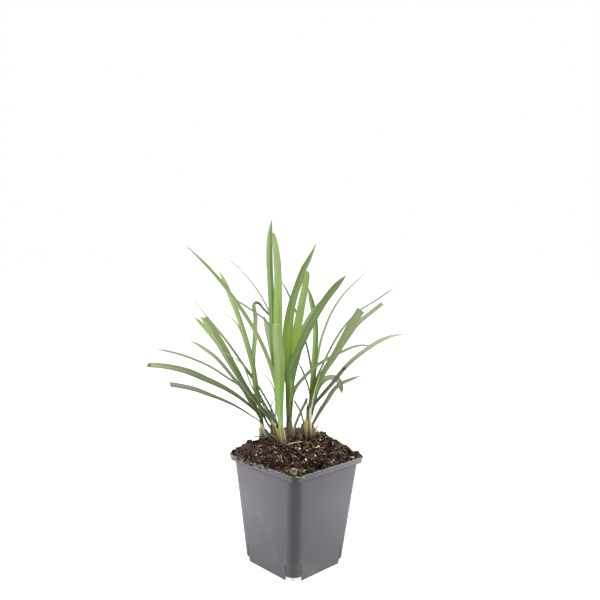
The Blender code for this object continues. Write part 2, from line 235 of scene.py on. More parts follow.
def shell(points, faces, **values):
    # a closed surface: its places in millimetres, blocks of faces, and values for each place
    return {"points": np.asarray(points, float), "faces": faces, "values": values}


def makePiece(name, shells, finish, sharp):
    # one object from closed shells, their values becoming attributes, and "map" the UV map
    starts = np.cumsum([0] + [len(s["points"]) for s in shells])
    points = np.concatenate([s["points"] for s in shells])
    blocks = [block + start for start, s in zip(starts, shells) for block in s["faces"]]
    corners = np.concatenate([block.ravel() for block in blocks]).astype(np.int32)
    totals = np.concatenate([np.full(len(block), block.shape[1]) for block in blocks])
    mesh = bpy.data.meshes.new(name)
    mesh.vertices.add(len(points))
    mesh.vertices.foreach_set("co", (points * mm).astype(np.float32).ravel())
    mesh.loops.add(len(corners))
    mesh.loops.foreach_set("vertex_index", corners)
    mesh.polygons.add(len(totals))
    loopStarts = np.concatenate([[0], np.cumsum(totals)[:-1]]).astype(np.int32)
    mesh.polygons.foreach_set("loop_start", loopStarts)
    mesh.update(calc_edges=True)
    mesh.validate()
    for key in shells[0]["values"]:
        values = np.concatenate([s["values"][key] for s in shells]).astype(np.float32)
        if key == "map":
            mesh.uv_layers.new(name="map").data.foreach_set("uv", values[corners].ravel())
        elif values.ndim == 2:
            opaque = np.concatenate([values, np.ones((len(values), 1), np.float32)], axis=1)
            mesh.attributes.new(key, "FLOAT_COLOR", "POINT").data.foreach_set("color", opaque.ravel())
        else:
            mesh.attributes.new(key, "FLOAT", "POINT").data.foreach_set("value", values)
    return finishPiece(name, mesh, finish, sharp)


def recalculate(mesh):
    # all faces outwards
    work = bmesh.new()
    work.from_mesh(mesh)
    bmesh.ops.recalc_face_normals(work, faces=work.faces)
    work.to_mesh(mesh)
    work.free()


def finishPiece(name, mesh, finish, sharp):
    # smooth but for its sharp edges, with its finish, riding the root body
    recalculate(mesh)
    mesh.shade_smooth()
    mesh.set_sharp_from_angle(angle=math.radians(sharp))
    mesh.materials.append(finish.material)
    made = bpy.data.objects.new(name, mesh)
    bpy.context.scene.collection.objects.link(made)
    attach(made, "root")
    print(name, "has", sum(len(p.vertices) - 2 for p in mesh.polygons), "triangles")
    return made


def closedStrip(top, bottom, **values):
    # a thin solid between two faces, each a grid of places along and across
    along, across = top.shape[:2]
    ring = np.concatenate([top, bottom[:, ::-1]], axis=1)
    faces = [gridFaces(along, 2 * across, closed=True)]
    k = np.arange(across - 1)
    for first in (0, (along - 1) * 2 * across):
        faces.append(first + np.stack([k, k + 1, 2 * across - 2 - k, 2 * across - 1 - k], axis=1))
    doubled = {}
    for key, value in values.items():
        both = value if isinstance(value, tuple) else (value, value)
        pair = np.concatenate([both[0], both[1][:, ::-1]], axis=1)
        doubled[key] = pair.reshape(along * 2 * across, *pair.shape[2:])
    return shell(ring.reshape(-1, 3), faces, **doubled)


def unit(vectors):
    # each vector over its length
    return vectors / np.maximum(np.linalg.norm(vectors, axis=-1, keepdims=True), 1e-9)


anyWay = np.array([0.31, 0.17, 0.93])               # a direction that no rod follows


def tubes(paths, radii, sides, **values):
    # many round rods at once: paths is rods x places x 3, radii rods x places
    rods, places = radii.shape
    tangent = unit(np.gradient(paths, axis=1))
    side = unit(np.cross(tangent, anyWay))
    upper = np.cross(tangent, side)
    angle = np.arange(sides) * 2 * math.pi / sides
    out = side[:, :, None] * np.cos(angle)[:, None] + upper[:, :, None] * np.sin(angle)[:, None]
    points = paths[:, :, None] + radii[:, :, None, None] * out
    each = places * sides
    starts = (np.arange(rods) * each)[:, None, None]
    walls = (gridFaces(places, sides, closed=True)[None] + starts).reshape(-1, 4)
    ends = np.stack([np.arange(sides), np.arange(sides) + each - sides])
    caps = (ends[None] + starts).reshape(-1, sides)
    spread = {k: np.repeat(v, each, axis=0) for k, v in values.items()}
    return shell(points.reshape(-1, 3), [walls, caps], **spread)


def roundStone(rounds):
    # a round body of 20 or 80 small triangles
    work = bmesh.new()
    bmesh.ops.create_icosphere(work, subdivisions=rounds, radius=1.0)
    points = np.array([v.co[:] for v in work.verts])
    faces = np.array([[v.index for v in f.verts] for f in work.faces])
    work.free()
    return points, faces


def turns(rng, count):
    # evenly spread random rotations, from unit quaternions
    q = unit(rng.normal(size=(count, 4)))
    w, x, y, z = q.T
    return np.stack([1 - 2 * (y * y + z * z), 2 * (x * y - w * z), 2 * (x * z + w * y),
                     2 * (x * y + w * z), 1 - 2 * (x * x + z * z), 2 * (y * z - w * x),
                     2 * (x * z - w * y), 2 * (y * z + w * x), 1 - 2 * (x * x + y * y)],
                    axis=1).reshape(count, 3, 3)


def flatTurns(rng, count, tip):
    # rotations about the upright, then a tip of up to so many degrees
    a = rng.uniform(0, 2 * math.pi, count)
    t = np.radians(rng.uniform(-tip, tip, count))
    zero, one = np.zeros(count), np.ones(count)
    about = np.stack([np.cos(a), -np.sin(a), zero, np.sin(a), np.cos(a), zero, zero, zero, one], axis=1)
    tipped = np.stack([one, zero, zero, zero, np.cos(t), -np.sin(t), zero, np.sin(t), np.cos(t)], axis=1)
    return about.reshape(-1, 3, 3) @ tipped.reshape(-1, 3, 3)


def stones(rng, centres, sizes, rotations, rounds, rough, **values):
    # many lumps at once: a round body with each corner pushed in or out, stretched and turned
    base, faces = roundStone(rounds)
    count = len(centres)
    lumps = base[None] * (1 + rough * rng.uniform(-1, 1, (count, len(base), 1)))
    lumps = np.einsum("nij,nkj->nki", rotations, lumps * sizes[:, None])
    points = (lumps + centres[:, None]).reshape(-1, 3)
    numbered = (faces[None] + (np.arange(count) * len(base))[:, None, None]).reshape(-1, 3)
    spread = {k: np.repeat(v, len(base), axis=0) for k, v in values.items()}
    return shell(points, [numbered], **spread)


# a pale table that glows a little; half its side in millimetres
floorForm = {"half": 6000.0, "white": 0.5, "glow": 0.85, "rough": 0.9}


def makeFloor(form):
    finish = Finish("floor", Roughness=form["rough"], Emission_Strength=form["glow"])
    finish.set(Base_Color=(form["white"],) * 3 + (1.0,), Emission_Color=(1.0, 1.0, 1.0, 1.0))
    h = form["half"] * mm
    mesh = bpy.data.meshes.new("floor")
    mesh.from_pydata([(-h, -h, 0), (h, -h, 0), (h, h, 0), (-h, h, 0)], [], [(0, 1, 2, 3)])
    mesh.materials.append(finish.material)
    made = bpy.data.objects.new("floor", mesh)
    bpy.context.scene.collection.objects.link(made)
    made.visible_diffuse = made.visible_glossy = False     # it glows for the eye alone


makeFloor(floorForm)
print("floor made")

# the pot's sizes, and its profile's steps: width and corner added to the body's or the rim's, and height over
# the ground, the rim's foot, the ledge inside or the top
potForm = {
    "height": 100.0, "rimSide": 90.0, "rimHeight": 6.0, "rimCorner": 5.5,
    "topSide": 85.2, "baseSide": 67.5, "bodyCorner": 10.0, "wall": 1.1, "floor": 1.5,
    "cornerLift": 4.3, "channelStart": 27.0, "channelWidth": 13.6,
    "slotWidth": 0.7, "slotTop": 16.0, "slotShift": 1.4, "slotReach": (28.0, 40.0), "slotFoot": 0.5,
    "bodySteps": ((-0.7, -0.3, 0.0), (0.0, 0.0, 0.4), (0.0, 0.0, 30.0), (0.0, 0.0, 60.0), (0.0, 0.0, 92.4)),
    "underSteps": ((0.2, -0.6, -0.8), (1.0, -1.6, -0.3)),
    "rimSteps": ((-2.4, 1.1, 0.0), (-1.7, 0.3, 0.15), (-1.3, 0.0, 0.5), (-1.2, 0.0, 0.9), (-1.2, 0.0, 3.3),
                 (-0.7, 0.0, 3.7), (-0.1, 0.0, 3.9), (0.0, 0.0, 4.2), (0.0, 0.0, 5.25),
                 (-0.12, 0.0, 5.65), (-0.45, -0.1, 5.92), (-0.9, -0.3, 6.0)),
    "ledge": 0.6, "ledgeSteps": ((-0.8, 0.0, 0.0), (0.0, 0.0, 0.8)),
    "lipSteps": ((0.0, 0.0, -0.5), (0.5, 0.0, -0.1), (1.6, 0.4, 0.06), (1.6, 0.4, 6.0)),
    "cutReach": 60.0, "cutFloor": -10.0, "cornerSteps": 14, "sharp": 24.0,
}

# the plastic's patterns, where each starts and is full, and how much of it shows
plasticForm = {
    "colour": "454247", "dust": "a09a94", "mud": "5c4940", "muddySide": (-0.70, -0.71, 0.0),
    "stretch": (1, 1, 0.05), "streaks": 260, "clouds": 38, "grain": 900, "specks": 420, "smears": 120,
    "speckFrom": (0.16, 0.06), "speckIn": (0.5, 0.66), "dustFrom": (0.66, 0.95),
    # painted light in a band just under the rim, where its shadow falls, and painted shade on the rim
    "paintedLightFrom": (0.078, 0.090), "rimShadeFrom": (0.0936, 0.0944),            # heights in metres
    "mudUp": (0.090, 0.0985), "mudPatch": (0.44, 0.62), "mudAcross": (0.037, 0.044),
    "dustShare": 0.10, "speckShare": 0.22, "mudShare": 0.6, "paintedLightShare": 0.05, "paintedRimShade": 0.24,
    "rough": 0.36, "bumpDeep": 0.00012, "bumpShare": 0.35,
}


def bodySide(height):
    # the body's outer width, growing evenly with height
    f = potForm
    return f["baseSide"] + (f["topSide"] - f["baseSide"]) * height / (f["height"] - f["rimHeight"])


def squareRing(side, corner, height, cornerSteps):
    # a square with rounded corners: four lines and four arcs, walked once round
    flat = side / 2 - corner
    a = np.arange(cornerSteps) / cornerSteps * math.pi / 2
    arc = np.stack([flat + corner * np.cos(a), flat + corner * np.sin(a)], axis=1)
    quarter = np.concatenate([[[side / 2, -flat]], arc])
    spins = [np.array([[c, s], [-s, c]]) for c, s in ((1, 0), (0, 1), (-1, 0), (0, -1))]
    plan = np.concatenate([quarter @ spin for spin in spins])
    return np.concatenate([plan, np.full((len(plan), 1), height)], axis=1)


def loftObject(name, rings):
    # a closed solid through rings, flat at both ends
    count = len(rings[0])
    faces = gridFaces(len(rings), count, closed=True).tolist()
    faces += [list(range(count)), list(range((len(rings) - 1) * count, len(rings) * count))]
    mesh = bpy.data.meshes.new(name)
    mesh.from_pydata((np.concatenate(rings) * mm).tolist(), [], faces)
    recalculate(mesh)
    made = bpy.data.objects.new(name, mesh)
    bpy.context.scene.collection.objects.link(made)
    return made


def cutAway(target, tools):
    # take the tools out of the target, then drop them
    group = bpy.data.collections.new("tools")
    bpy.context.scene.collection.children.link(group)
    for tool in tools:
        group.objects.link(tool)
    cut = target.modifiers.new("cut", "BOOLEAN")
    cut.operation, cut.operand_type, cut.collection = "DIFFERENCE", "COLLECTION", group
    cut.solver = "EXACT"
    graph = bpy.context.evaluated_depsgraph_get()
    made = bpy.data.meshes.new_from_object(target.evaluated_get(graph))
    target.modifiers.clear()
    target.data = made
    for tool in tools:
        bpy.data.objects.remove(tool, do_unlink=True)
    bpy.data.collections.remove(group)


def stepped(steps, side, corner, height):
    # widths, corners and heights of a profile's steps
    return [(side + wide, corner + more, height + up) for wide, more, up in steps]


def outerProfile():
    # side, corner and height up the outside, with a small round at the foot, under and on the rim
    f = potForm
    rim = f["height"] - f["rimHeight"]
    body = [(bodySide(up) + wide, f["bodyCorner"] + more, up) for wide, more, up in f["bodySteps"]]
    under = stepped(f["underSteps"], bodySide(rim), f["bodyCorner"], rim)
    return body + under + stepped(f["rimSteps"], f["rimSide"], f["rimCorner"], rim)


def innerProfile():
    # the same down the inside, open above the rim
    f = potForm
    wall, ledge = f["wall"], f["height"] - f["rimHeight"] + f["wall"]
    side, corner = f["rimSide"] - 2 * wall, f["rimCorner"] - wall
    bodyCorner, under = f["bodyCorner"] - wall, bodySide(f["height"] - f["rimHeight"]) - 2 * wall
    body = [(bodySide(f["floor"]) - 2 * wall, bodyCorner, f["floor"]),
            (under, bodyCorner, ledge - f["ledge"])]
    lip = stepped(f["lipSteps"], side, corner, f["height"])
    return body + stepped(f["ledgeSteps"], side, corner, ledge) + lip


def prism(name, corners, low, high):
    # a straight block over a flat outline
    ring = np.concatenate([np.array(corners, float), np.full((len(corners), 1), low)], axis=1)
    return loftObject(name, [ring, ring + (0, 0, high - low)])


def turned(corners, quarter, extra=0.0):
    # an outline turned by quarters of a round and some more
    a = quarter * math.pi / 2 + extra
    return np.array(corners) @ np.array([[math.cos(a), math.sin(a)], [-math.sin(a), math.cos(a)]])


def channelBlocks(wall, top):
    # the four drain channels that run out under the corners
    f = potForm
    start, half, reach = f["channelStart"] - wall, f["channelWidth"] / 2 + wall, f["cutReach"]
    box = [(start, -half), (reach, -half), (reach, half), (start, half)]
    return [prism("channel", turned(box, q, math.pi / 4), f["cutFloor"], top) for q in range(4)]


def slotBlocks():
    # the thin upright slots either side of each corner
    f = potForm
    across, half = f["baseSide"] / 2 - f["bodyCorner"] + f["slotShift"], f["slotWidth"] / 2
    low, (near, far) = f["cornerLift"] + f["floor"] + f["slotFoot"], f["slotReach"]
    blocks = []
    for quarter in range(4):
        for middle in (-across, across):
            box = [(near, middle - half), (far, middle - half), (far, middle + half), (near, middle + half)]
            blocks.append(prism("slot", turned(box, quarter), low, f["slotTop"]))
    return blocks


def plasticFinish():
    # dark plastic with upright streaks, dust and specks, painted shade that darkens the rim, a band of
    # painted light just under it, and mud on its muddy side
    f = plasticForm
    finish = Finish("pot_plastic", IOR=1.5, Specular_IOR_Level=0.45)
    here = finish.place()
    streak = finish.noise(finish.place(f["stretch"]), f["streaks"], 4)
    cloud = finish.noise(here, f["clouds"], 3)
    fine = finish.noise(here, f["grain"], 2)
    speck = finish.step(finish.cells(here, f["specks"]), *f["speckFrom"])
    height = finish.node("SeparateXYZ", None, {0: here}, 2)
    colour = finish.scaled(shade(f["colour"])[:3], 0.86 + 0.18 * streak + 0.08 * cloud)
    dusty = finish.step(cloud + 0.25 * fine, *f["dustFrom"]) * f["dustShare"]
    dusty = dusty + speck * finish.step(fine, *f["speckIn"]) * f["speckShare"]
    colour = finish.mix(colour, shade(f["dust"]), dusty)
    # painted light: lighter just under the rim; painted shade: darker on the rim
    paintedLight = finish.step(height, *f["paintedLightFrom"]) * f["paintedLightShare"]
    colour = finish.scaled(colour, 1.0 + paintedLight - finish.step(height, *f["rimShadeFrom"]) * f["paintedRimShade"])
    across = finish.node("VectorMath", {"operation": "DOT_PRODUCT"}, {0: here, 1: f["muddySide"]}, "Value")
    smear = finish.step(height, *f["mudUp"]) * finish.step(finish.noise(here, f["smears"], 4), *f["mudPatch"])
    smear = smear * (finish.step(across, *f["mudAcross"]) + 0.2)
    colour = finish.mix(colour, shade(f["mud"]), smear * f["mudShare"])
    finish.set(Base_Color=colour, Roughness=f["rough"] + 0.2 * cloud + 0.12 * streak + 0.1 * smear)
    finish.bump(fine * 0.4 + streak * 0.6 + speck * 0.3, f["bumpDeep"], f["bumpShare"])
    return finish


def ringsOf(profile):
    # a ring for each step of a profile
    return [squareRing(*step, potForm["cornerSteps"]) for step in profile]


def makePot():
    # the outside less the channels under its corners, its hollow and its slots
    pot = loftObject("pot_shell", ringsOf(outerProfile()))
    cutAway(pot, channelBlocks(0.0, potForm["cornerLift"]))
    hollow = loftObject("hollow", ringsOf(innerProfile()))
    cutAway(hollow, channelBlocks(potForm["wall"], potForm["cornerLift"] + potForm["wall"]))
    cutAway(pot, [hollow])
    cutAway(pot, slotBlocks())
    mesh = pot.data
    mesh.materials.clear()
    bpy.data.objects.remove(pot, do_unlink=True)
    made = finishPiece("potShell", mesh, plasticFinish(), potForm["sharp"])
    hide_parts("pot")


makePot()
print("pot made")


plantTurn = math.radians(45.3)                      # the plant's own frame is turned in the pot

# heaps are across, away, reach and height in the plant's frame; levels are those of the hidden sides
soilForm = {
    "edge": 99.4, "mound": 13.0, "centre": (0.0, 15.0), "reach": 56.0, "fall": 8.0, "heapFall": 3.0,
    "clods": 90, "clodHeight": (0.4, 1.4), "clodRadius": (2.5, 6.0), "clodSeed": 7, "clodInset": 3.0,
    "heaps": ((-45.0, 4.0, 9.0, 3.2), (-30.0, -14.0, 8.0, 1.2), (47.0, 14.0, 10.0, 2.6),
              (-38.0, 24.0, 9.0, 1.5), (-57.5, 1.0, 5.0, 3.4), (57.5, 2.0, 5.0, 1.4),
              (27.0, 22.0, 6.0, 2.0), (-26.0, -2.0, 6.0, -2.2)),
    "lumps": 1100, "lumpRadius": (0.9, 5.2), "lumpPower": 2.2, "lumpRise": (0.4, 0.9), "lumpSeed": 11,
    "lumpBatch": 50, "lumpSink": 1.0, "lumpEdge": 0.25, "lumpFall": 4.0,
    "cells": 190, "wallGap": 0.3, "rimLevel": 96.4, "shoulder": (93.6, 94.6), "levels": (92.0, 60.0, 6.6),
    "hollowShadeHeight": 2.4, "sharp": 70.0,
}

# the crumb's colours from its darkest, painted shade standing for hollows, to its straw, each with its place
# on the ramp and its lightness
peatForm = {
    "colours": ((0.16, "2a1f20", 0.16), (0.40, "2a1f20", 0.5), (0.54, "43342c", 0.8),
                (0.70, "5c403a", 1.0), (0.90, "8d7a62", 1.0)),
    "broad": 55, "middle": 330, "grain": 1500, "bits": 620, "least": 0.10, "most": 1.10,
    "grainFrom": (0.30, 0.70), "hollowShadeLeast": 0.10, "hollowShadeMost": 1.35, "bumpDeep": 0.0005,
    "bumpShare": 0.6,
}


def toPot(points):
    # from the plant's frame, across, away and up, to the pot's
    points = np.asarray(points, float)
    c, s = math.cos(plantTurn), math.sin(plantTurn)
    x, y = points[..., 0], points[..., 1]
    return np.stack([x * c - y * s, x * s + y * c, points[..., 2]], axis=-1)


def makeClods():
    # across, away, radius and height of each broad bump
    draw, half = random.Random(soilForm["clodSeed"]), potForm["rimSide"] / 2 - soilForm["clodInset"]
    return [(draw.uniform(-half, half), draw.uniform(-half, half), draw.uniform(*soilForm["clodRadius"]),
             draw.uniform(*soilForm["clodHeight"])) for _ in range(soilForm["clods"])]


def makeLumps():
    # places, radii and heights of the small domes, most of them small
    f, n = soilForm, soilForm["lumps"]
    rng, half = np.random.default_rng(f["lumpSeed"]), potForm["rimSide"] / 2
    radius = f["lumpRadius"][0] + np.diff(f["lumpRadius"]) * rng.random(n) ** f["lumpPower"]
    x, y = rng.uniform(-half, half, n), rng.uniform(-half, half, n)
    return x, y, radius, radius * rng.uniform(*f["lumpRise"], n)


clods, lumps = makeClods(), makeLumps()


def fromWall(x, y):
    # how far a place lies in from the nearest wall
    return potForm["rimSide"] / 2 - potForm["wall"] - np.maximum(np.abs(x), np.abs(y))


def smoothSoil(x, y, bumps=True):
    # the edge level, a mound round the plant, heaps, and a rounded bump for each clod
    f, near = soilForm, fromWall(x, y)
    c, s = math.cos(plantTurn), math.sin(plantTurn)
    across, away = x * c + y * s, y * c - x * s
    far = ((across - f["centre"][0]) ** 2 + (away - f["centre"][1]) ** 2) / f["reach"] ** 2
    fall = np.clip(near / f["fall"], 0, 1)
    high = f["edge"] + fall * f["mound"] * np.clip(1 - far, 0, 1)
    if not bumps:
        return high
    extra = sum(h * np.exp(-((x - cx) ** 2 + (y - cy) ** 2) / r ** 2) for cx, cy, r, h in clods)
    heaps = sum(h * np.exp(-((across - u) ** 2 + (away - v) ** 2) / r ** 2) for u, v, r, h in f["heaps"])
    return high + fall * extra + np.clip(near / f["heapFall"], 0, 1) * heaps


def lumpRelief(x, y):
    # the highest of many low domes over each place, worked out a batch of domes at a time
    flat, batch = np.zeros(x.size), soilForm["lumpBatch"]
    px, py = x.ravel(), y.ravel()
    cx, cy, radius, height = lumps
    for k in range(0, len(cx), batch):
        far = (px[:, None] - cx[k:k + batch]) ** 2 + (py[:, None] - cy[k:k + batch]) ** 2
        dome = height[k:k + batch] * np.sqrt(np.clip(1 - far / radius[k:k + batch] ** 2, 0, 1))
        flat = np.maximum(flat, dome.max(axis=1))
    return flat.reshape(x.shape)


def soilTop(x, y):
    # the smooth soil with the small domes on it, which sink towards the walls
    fade = np.clip(soilForm["lumpEdge"] + fromWall(x, y) / soilForm["lumpFall"], 0, 1)
    return smoothSoil(x, y) + (lumpRelief(x, y) - soilForm["lumpSink"]) * fade


def roundIn(x, y, half, corner):
    # draws a square's corners in onto their arcs
    over = np.maximum(np.stack([np.abs(x), np.abs(y)]) - (half - corner), 0)
    length = np.maximum(np.hypot(over[0], over[1]), 1e-9)
    pull = over.max(axis=0) / length
    inside = (over > 0).all(axis=0)
    nx = np.where(inside, np.sign(x) * (half - corner + over[0] * pull), x)
    ny = np.where(inside, np.sign(y) * (half - corner + over[1] * pull), y)
    return nx, ny


def makeSoil():
    # a square grid over the top, its corners drawn in, and rings down the sides to a flat bottom
    f, s = potForm, soilForm
    inset = f["wall"] + s["wallGap"]
    half, n = f["rimSide"] / 2 - inset, s["cells"]
    grid = np.linspace(-1, 1, n + 1)
    gx, gy = np.meshgrid(grid, grid, indexing="ij")
    x, y = roundIn(gx * half, gy * half, half, f["rimCorner"] - inset)
    relief = lumpRelief(x, y)
    top = np.stack([x, y, soilTop(x, y)], axis=-1).reshape(-1, 3)
    index = np.arange((n + 1) ** 2).reshape(n + 1, n + 1)
    rim = np.concatenate([index[:-1, 0], index[-1, :-1], index[:0:-1, -1], index[0, :0:-1]])
    ux, uy = gx.ravel()[rim], gy.ravel()[rim]
    widthAt, shoulder = s["shoulder"]
    sides = [(f["rimSide"], f["rimCorner"], s["rimLevel"]), (bodySide(widthAt), f["bodyCorner"], shoulder)]
    sides += [(bodySide(level), f["bodyCorner"], level) for level in s["levels"]]
    rings = []
    for side, corner, height in sides:
        wide = side / 2 - inset
        rx, ry = roundIn(ux * wide, uy * wide, wide, corner - inset)
        rings.append(np.stack([rx, ry, np.full(len(rim), height)], axis=1))
    count, start = len(rim), len(top)
    levels = np.concatenate([rim[None], start + np.arange(len(rings) * count).reshape(len(rings), count)])
    a, b = levels[:-1], levels[1:]
    skirt = np.stack([a, b, np.roll(b, -1, axis=1), np.roll(a, -1, axis=1)], axis=-1).reshape(-1, 4)
    pole = start + len(rings) * count
    fan = np.stack([levels[-1], np.full(count, pole), np.roll(levels[-1], -1)], axis=1)
    points = np.concatenate([top, *rings, [[0, 0, s["levels"][-1]]]])
    # painted shade: the depth share darkens the soil between and round its domes
    depth = np.zeros(len(points))
    depth[:len(top)] = np.clip(relief.ravel() / s["hollowShadeHeight"], 0, 1)
    body = shell(points, [gridFaces(n + 1, n + 1), skirt, fan], depth=depth)
    made = makePiece("soilBody", [body], peatFinish("peat", True), s["sharp"])
    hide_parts("soil")


def peatFinish(name, ground):
    # dark crumb with brown and reddish bits; ground reads its hollows for painted shade, loose bits read
    # their own tone
    f = peatForm
    finish = Finish(name, Specular_IOR_Level=0.08)
    here = finish.place()
    broad, mid, fine = (finish.noise(here, f[key], detail)
                        for key, detail in (("broad", 2), ("middle", 3), ("grain", 3)))
    cell = finish.node("SeparateColor", None, {0: finish.cells(here, f["bits"], 1)}, 0)
    tone = (0.42 * cell + 0.3 * mid + 0.28 * broad) if ground else (finish.reading("tone") * 0.8 + 0.2 * mid)
    stops = [(place, shade(colour, share)) for place, colour, share in f["colours"]]
    colour = finish.node("ValToRGB", {"stops": stops}, {0: tone})
    light = f["least"] + f["most"] * finish.step(fine, *f["grainFrom"])
    # painted shade in the ground's hollows, by the depth stored on the mesh
    if ground:
        light = light * (f["hollowShadeLeast"] + f["hollowShadeMost"] * finish.reading("depth")) * (0.5 + 1.0 * broad)
    finish.set(Base_Color=finish.scaled(colour, light), Roughness=0.7 + 0.3 * mid)
    finish.bump(fine * 0.7 + mid, f["bumpDeep"], f["bumpShare"])
    return finish


makeSoil()
print("soil body made")

# crumbs are round and chips long; sizes lie between two limits, and a higher power makes more of them small
litterForm = {
    "rimCrumbs": 700, "clinging": 110, "crumbs": 2600, "crumbSize": (0.28, 1.25), "crumbPower": 2.4,
    "chips": 330, "chipLength": (1.2, 5.0), "chipPower": 1.8, "chipWide": (0.28, 0.6),
    "chipThick": (0.14, 0.3), "chipShrink": 0.62, "chipTip": 40, "crumbSeed": 21, "crumbRough": 0.32,
    "chipRough": 0.16, "corner": 4.0, "crumbInset": 2.6, "chipInset": 3.4, "fibreInset": 6.0,
    "grainInset": 5.0, "sharp": 35.0,
}

# crumbs that lie along the rim's top, and some that cling to its left face
spillForm = {
    "inset": (0.3, 1.8), "fromCorner": 4.0, "size": (0.3, 1.0), "sink": 0.2, "stretch": (0.6, 1.3),
    "clingMiddle": -43, "clingSpread": 7.5, "clingDrop": 4.6, "clingPower": 1.6, "clingOff": 0.05,
}


def scatter(rng, count, inset):
    # random places over the soil, this far in from the pot's sides
    half = potForm["rimSide"] / 2 - inset
    x, y = rng.uniform(-half, half, count), rng.uniform(-half, half, count)
    return roundIn(x, y, half, litterForm["corner"])


def onSoil(x, y, lift):
    # places this far above the soil
    return np.stack([x, y, soilTop(x, y) + lift], axis=1)


def mostlySmall(rng, count, limits, power):
    # random sizes between two limits
    low, high = limits
    return low + (high - low) * rng.random(count) ** power


def makeSpill(rng):
    # along each side of the rim's top, and down its left face, where across plus away is one value
    f, n, m = spillForm, litterForm["rimCrumbs"], litterForm["clinging"]
    side = potForm["rimSide"] / 2
    along, edge = rng.uniform(-1, 1, n) * (side - f["fromCorner"]), side - rng.uniform(*f["inset"], n)
    quarter = rng.integers(0, 4, n) * math.pi / 2
    x = edge * np.cos(quarter) - along * np.sin(quarter)
    y = edge * np.sin(quarter) + along * np.cos(quarter)
    size = rng.uniform(*f["size"], n)
    top = np.stack([x, y, potForm["height"] + f["sink"] * size], axis=1)
    low = rng.random(m) ** f["clingPower"] * f["clingDrop"]
    u = rng.normal(f["clingMiddle"], f["clingSpread"], m)
    cling = toPot(np.stack([u, -(side * math.sqrt(2) + f["clingOff"]) - u, 0 * u], axis=1))
    cling[:, 2] = potForm["height"] + f["sink"] - low
    small = rng.uniform(*f["size"], m) * (1 - 0.1 * low)
    sizes = np.concatenate([size, small])[:, None] * rng.uniform(*f["stretch"], (n + m, 3))
    return stones(rng, np.concatenate([top, cling]), sizes, turns(rng, n + m), 1, litterForm["crumbRough"],
                  tone=rng.random(n + m) ** 1.3)


def makeCrumbs():
    # round crumbs and long chips all over the soil, then the spill on the rim
    f, rng, n = litterForm, np.random.default_rng(litterForm["crumbSeed"]), litterForm["crumbs"]
    size = mostlySmall(rng, n, f["crumbSize"], f["crumbPower"])
    x, y = scatter(rng, n, f["crumbInset"])
    sizes = size[:, None] * rng.uniform(0.7, 1.25, (n, 3))
    crumbs = stones(rng, onSoil(x, y, 0.3 * size), sizes, turns(rng, n), 1, f["crumbRough"],
                    tone=rng.random(n) ** 1.5)
    n = f["chips"]
    length = mostlySmall(rng, n, f["chipLength"], f["chipPower"])
    x, y = scatter(rng, n, f["chipInset"])
    wide, thick = length * rng.uniform(*f["chipWide"], n), length * rng.uniform(*f["chipThick"], n)
    sizes = np.stack([length, wide, thick], axis=1)
    chips = stones(rng, onSoil(x, y, 0.25 * length * 0.3 + 0.3), sizes * f["chipShrink"],
                   flatTurns(rng, n, f["chipTip"]), 2, f["chipRough"], tone=0.35 + 0.6 * rng.random(n))
    makePiece("soilCrumbs", [crumbs, chips, makeSpill(rng)], peatFinish("crumb", False), f["sharp"])


# the fibres' number, lengths and bends, and their colours with each one's place on the ramp
fibreForm = {
    "count": 190, "length": (2.0, 8.0), "radius": (0.10, 0.26), "places": 7, "bend": 0.5, "rise": 0.9,
    "lift": 0.15, "taper": 0.55, "seed": 31, "inset": 2.0, "sharp": 80.0,
    "colours": ((0.0, "2e221d"), (0.45, "6b5138"), (0.8, "a48a66"), (1.0, "d9c6a2")), "rough": 0.75,
    "grain": 1400, "bumpDeep": 0.0002, "bumpShare": 0.5,
}


def fibreFinish():
    # dry brown to straw, by each bit's own tone
    f = fibreForm
    finish = Finish("dry_fibre", Roughness=f["rough"])
    grain = finish.noise(finish.place(), f["grain"], 2)
    stops = [(place, shade(colour)) for place, colour in f["colours"]]
    colour = finish.node("ValToRGB", {"stops": stops}, {0: finish.reading("tone")})
    finish.set(Base_Color=finish.scaled(colour, 0.7 + 0.6 * grain))
    finish.bump(grain, f["bumpDeep"], f["bumpShare"])
    return finish


def makeFibres():
    # bent rods that lie on the soil, one end sometimes rising
    f = fibreForm
    rng, n = np.random.default_rng(f["seed"]), f["count"]
    length, heading = rng.uniform(*f["length"], n)[:, None], rng.uniform(0, 2 * math.pi, n)[:, None]
    x0, y0 = scatter(rng, n, litterForm["fibreInset"])
    t = np.linspace(-0.5, 0.5, f["places"])
    bend = rng.uniform(-f["bend"], f["bend"], n)[:, None]
    x = x0[:, None] + length * t * np.cos(heading + bend * t)
    y = y0[:, None] + length * t * np.sin(heading + bend * t)
    inside = potForm["rimSide"] / 2 - f["inset"]
    x, y = np.clip(x, -inside, inside), np.clip(y, -inside, inside)
    ground = soilTop(x, y)
    rise = np.abs(rng.normal(0, f["rise"], n))[:, None] * np.clip(t + 0.5, 0, 1) ** 2
    level = ground.max(axis=1, keepdims=True) * 0.6 + ground * 0.4 + f["lift"] + rise
    radius = rng.uniform(*f["radius"], n)[:, None] * (1 - f["taper"] * (2 * t) ** 2)
    rods = tubes(np.stack([x, y, level], axis=-1), radius, 4, tone=rng.random(n) ** 1.2)
    makePiece("soilFibres", [rods], fibreFinish(), f["sharp"])


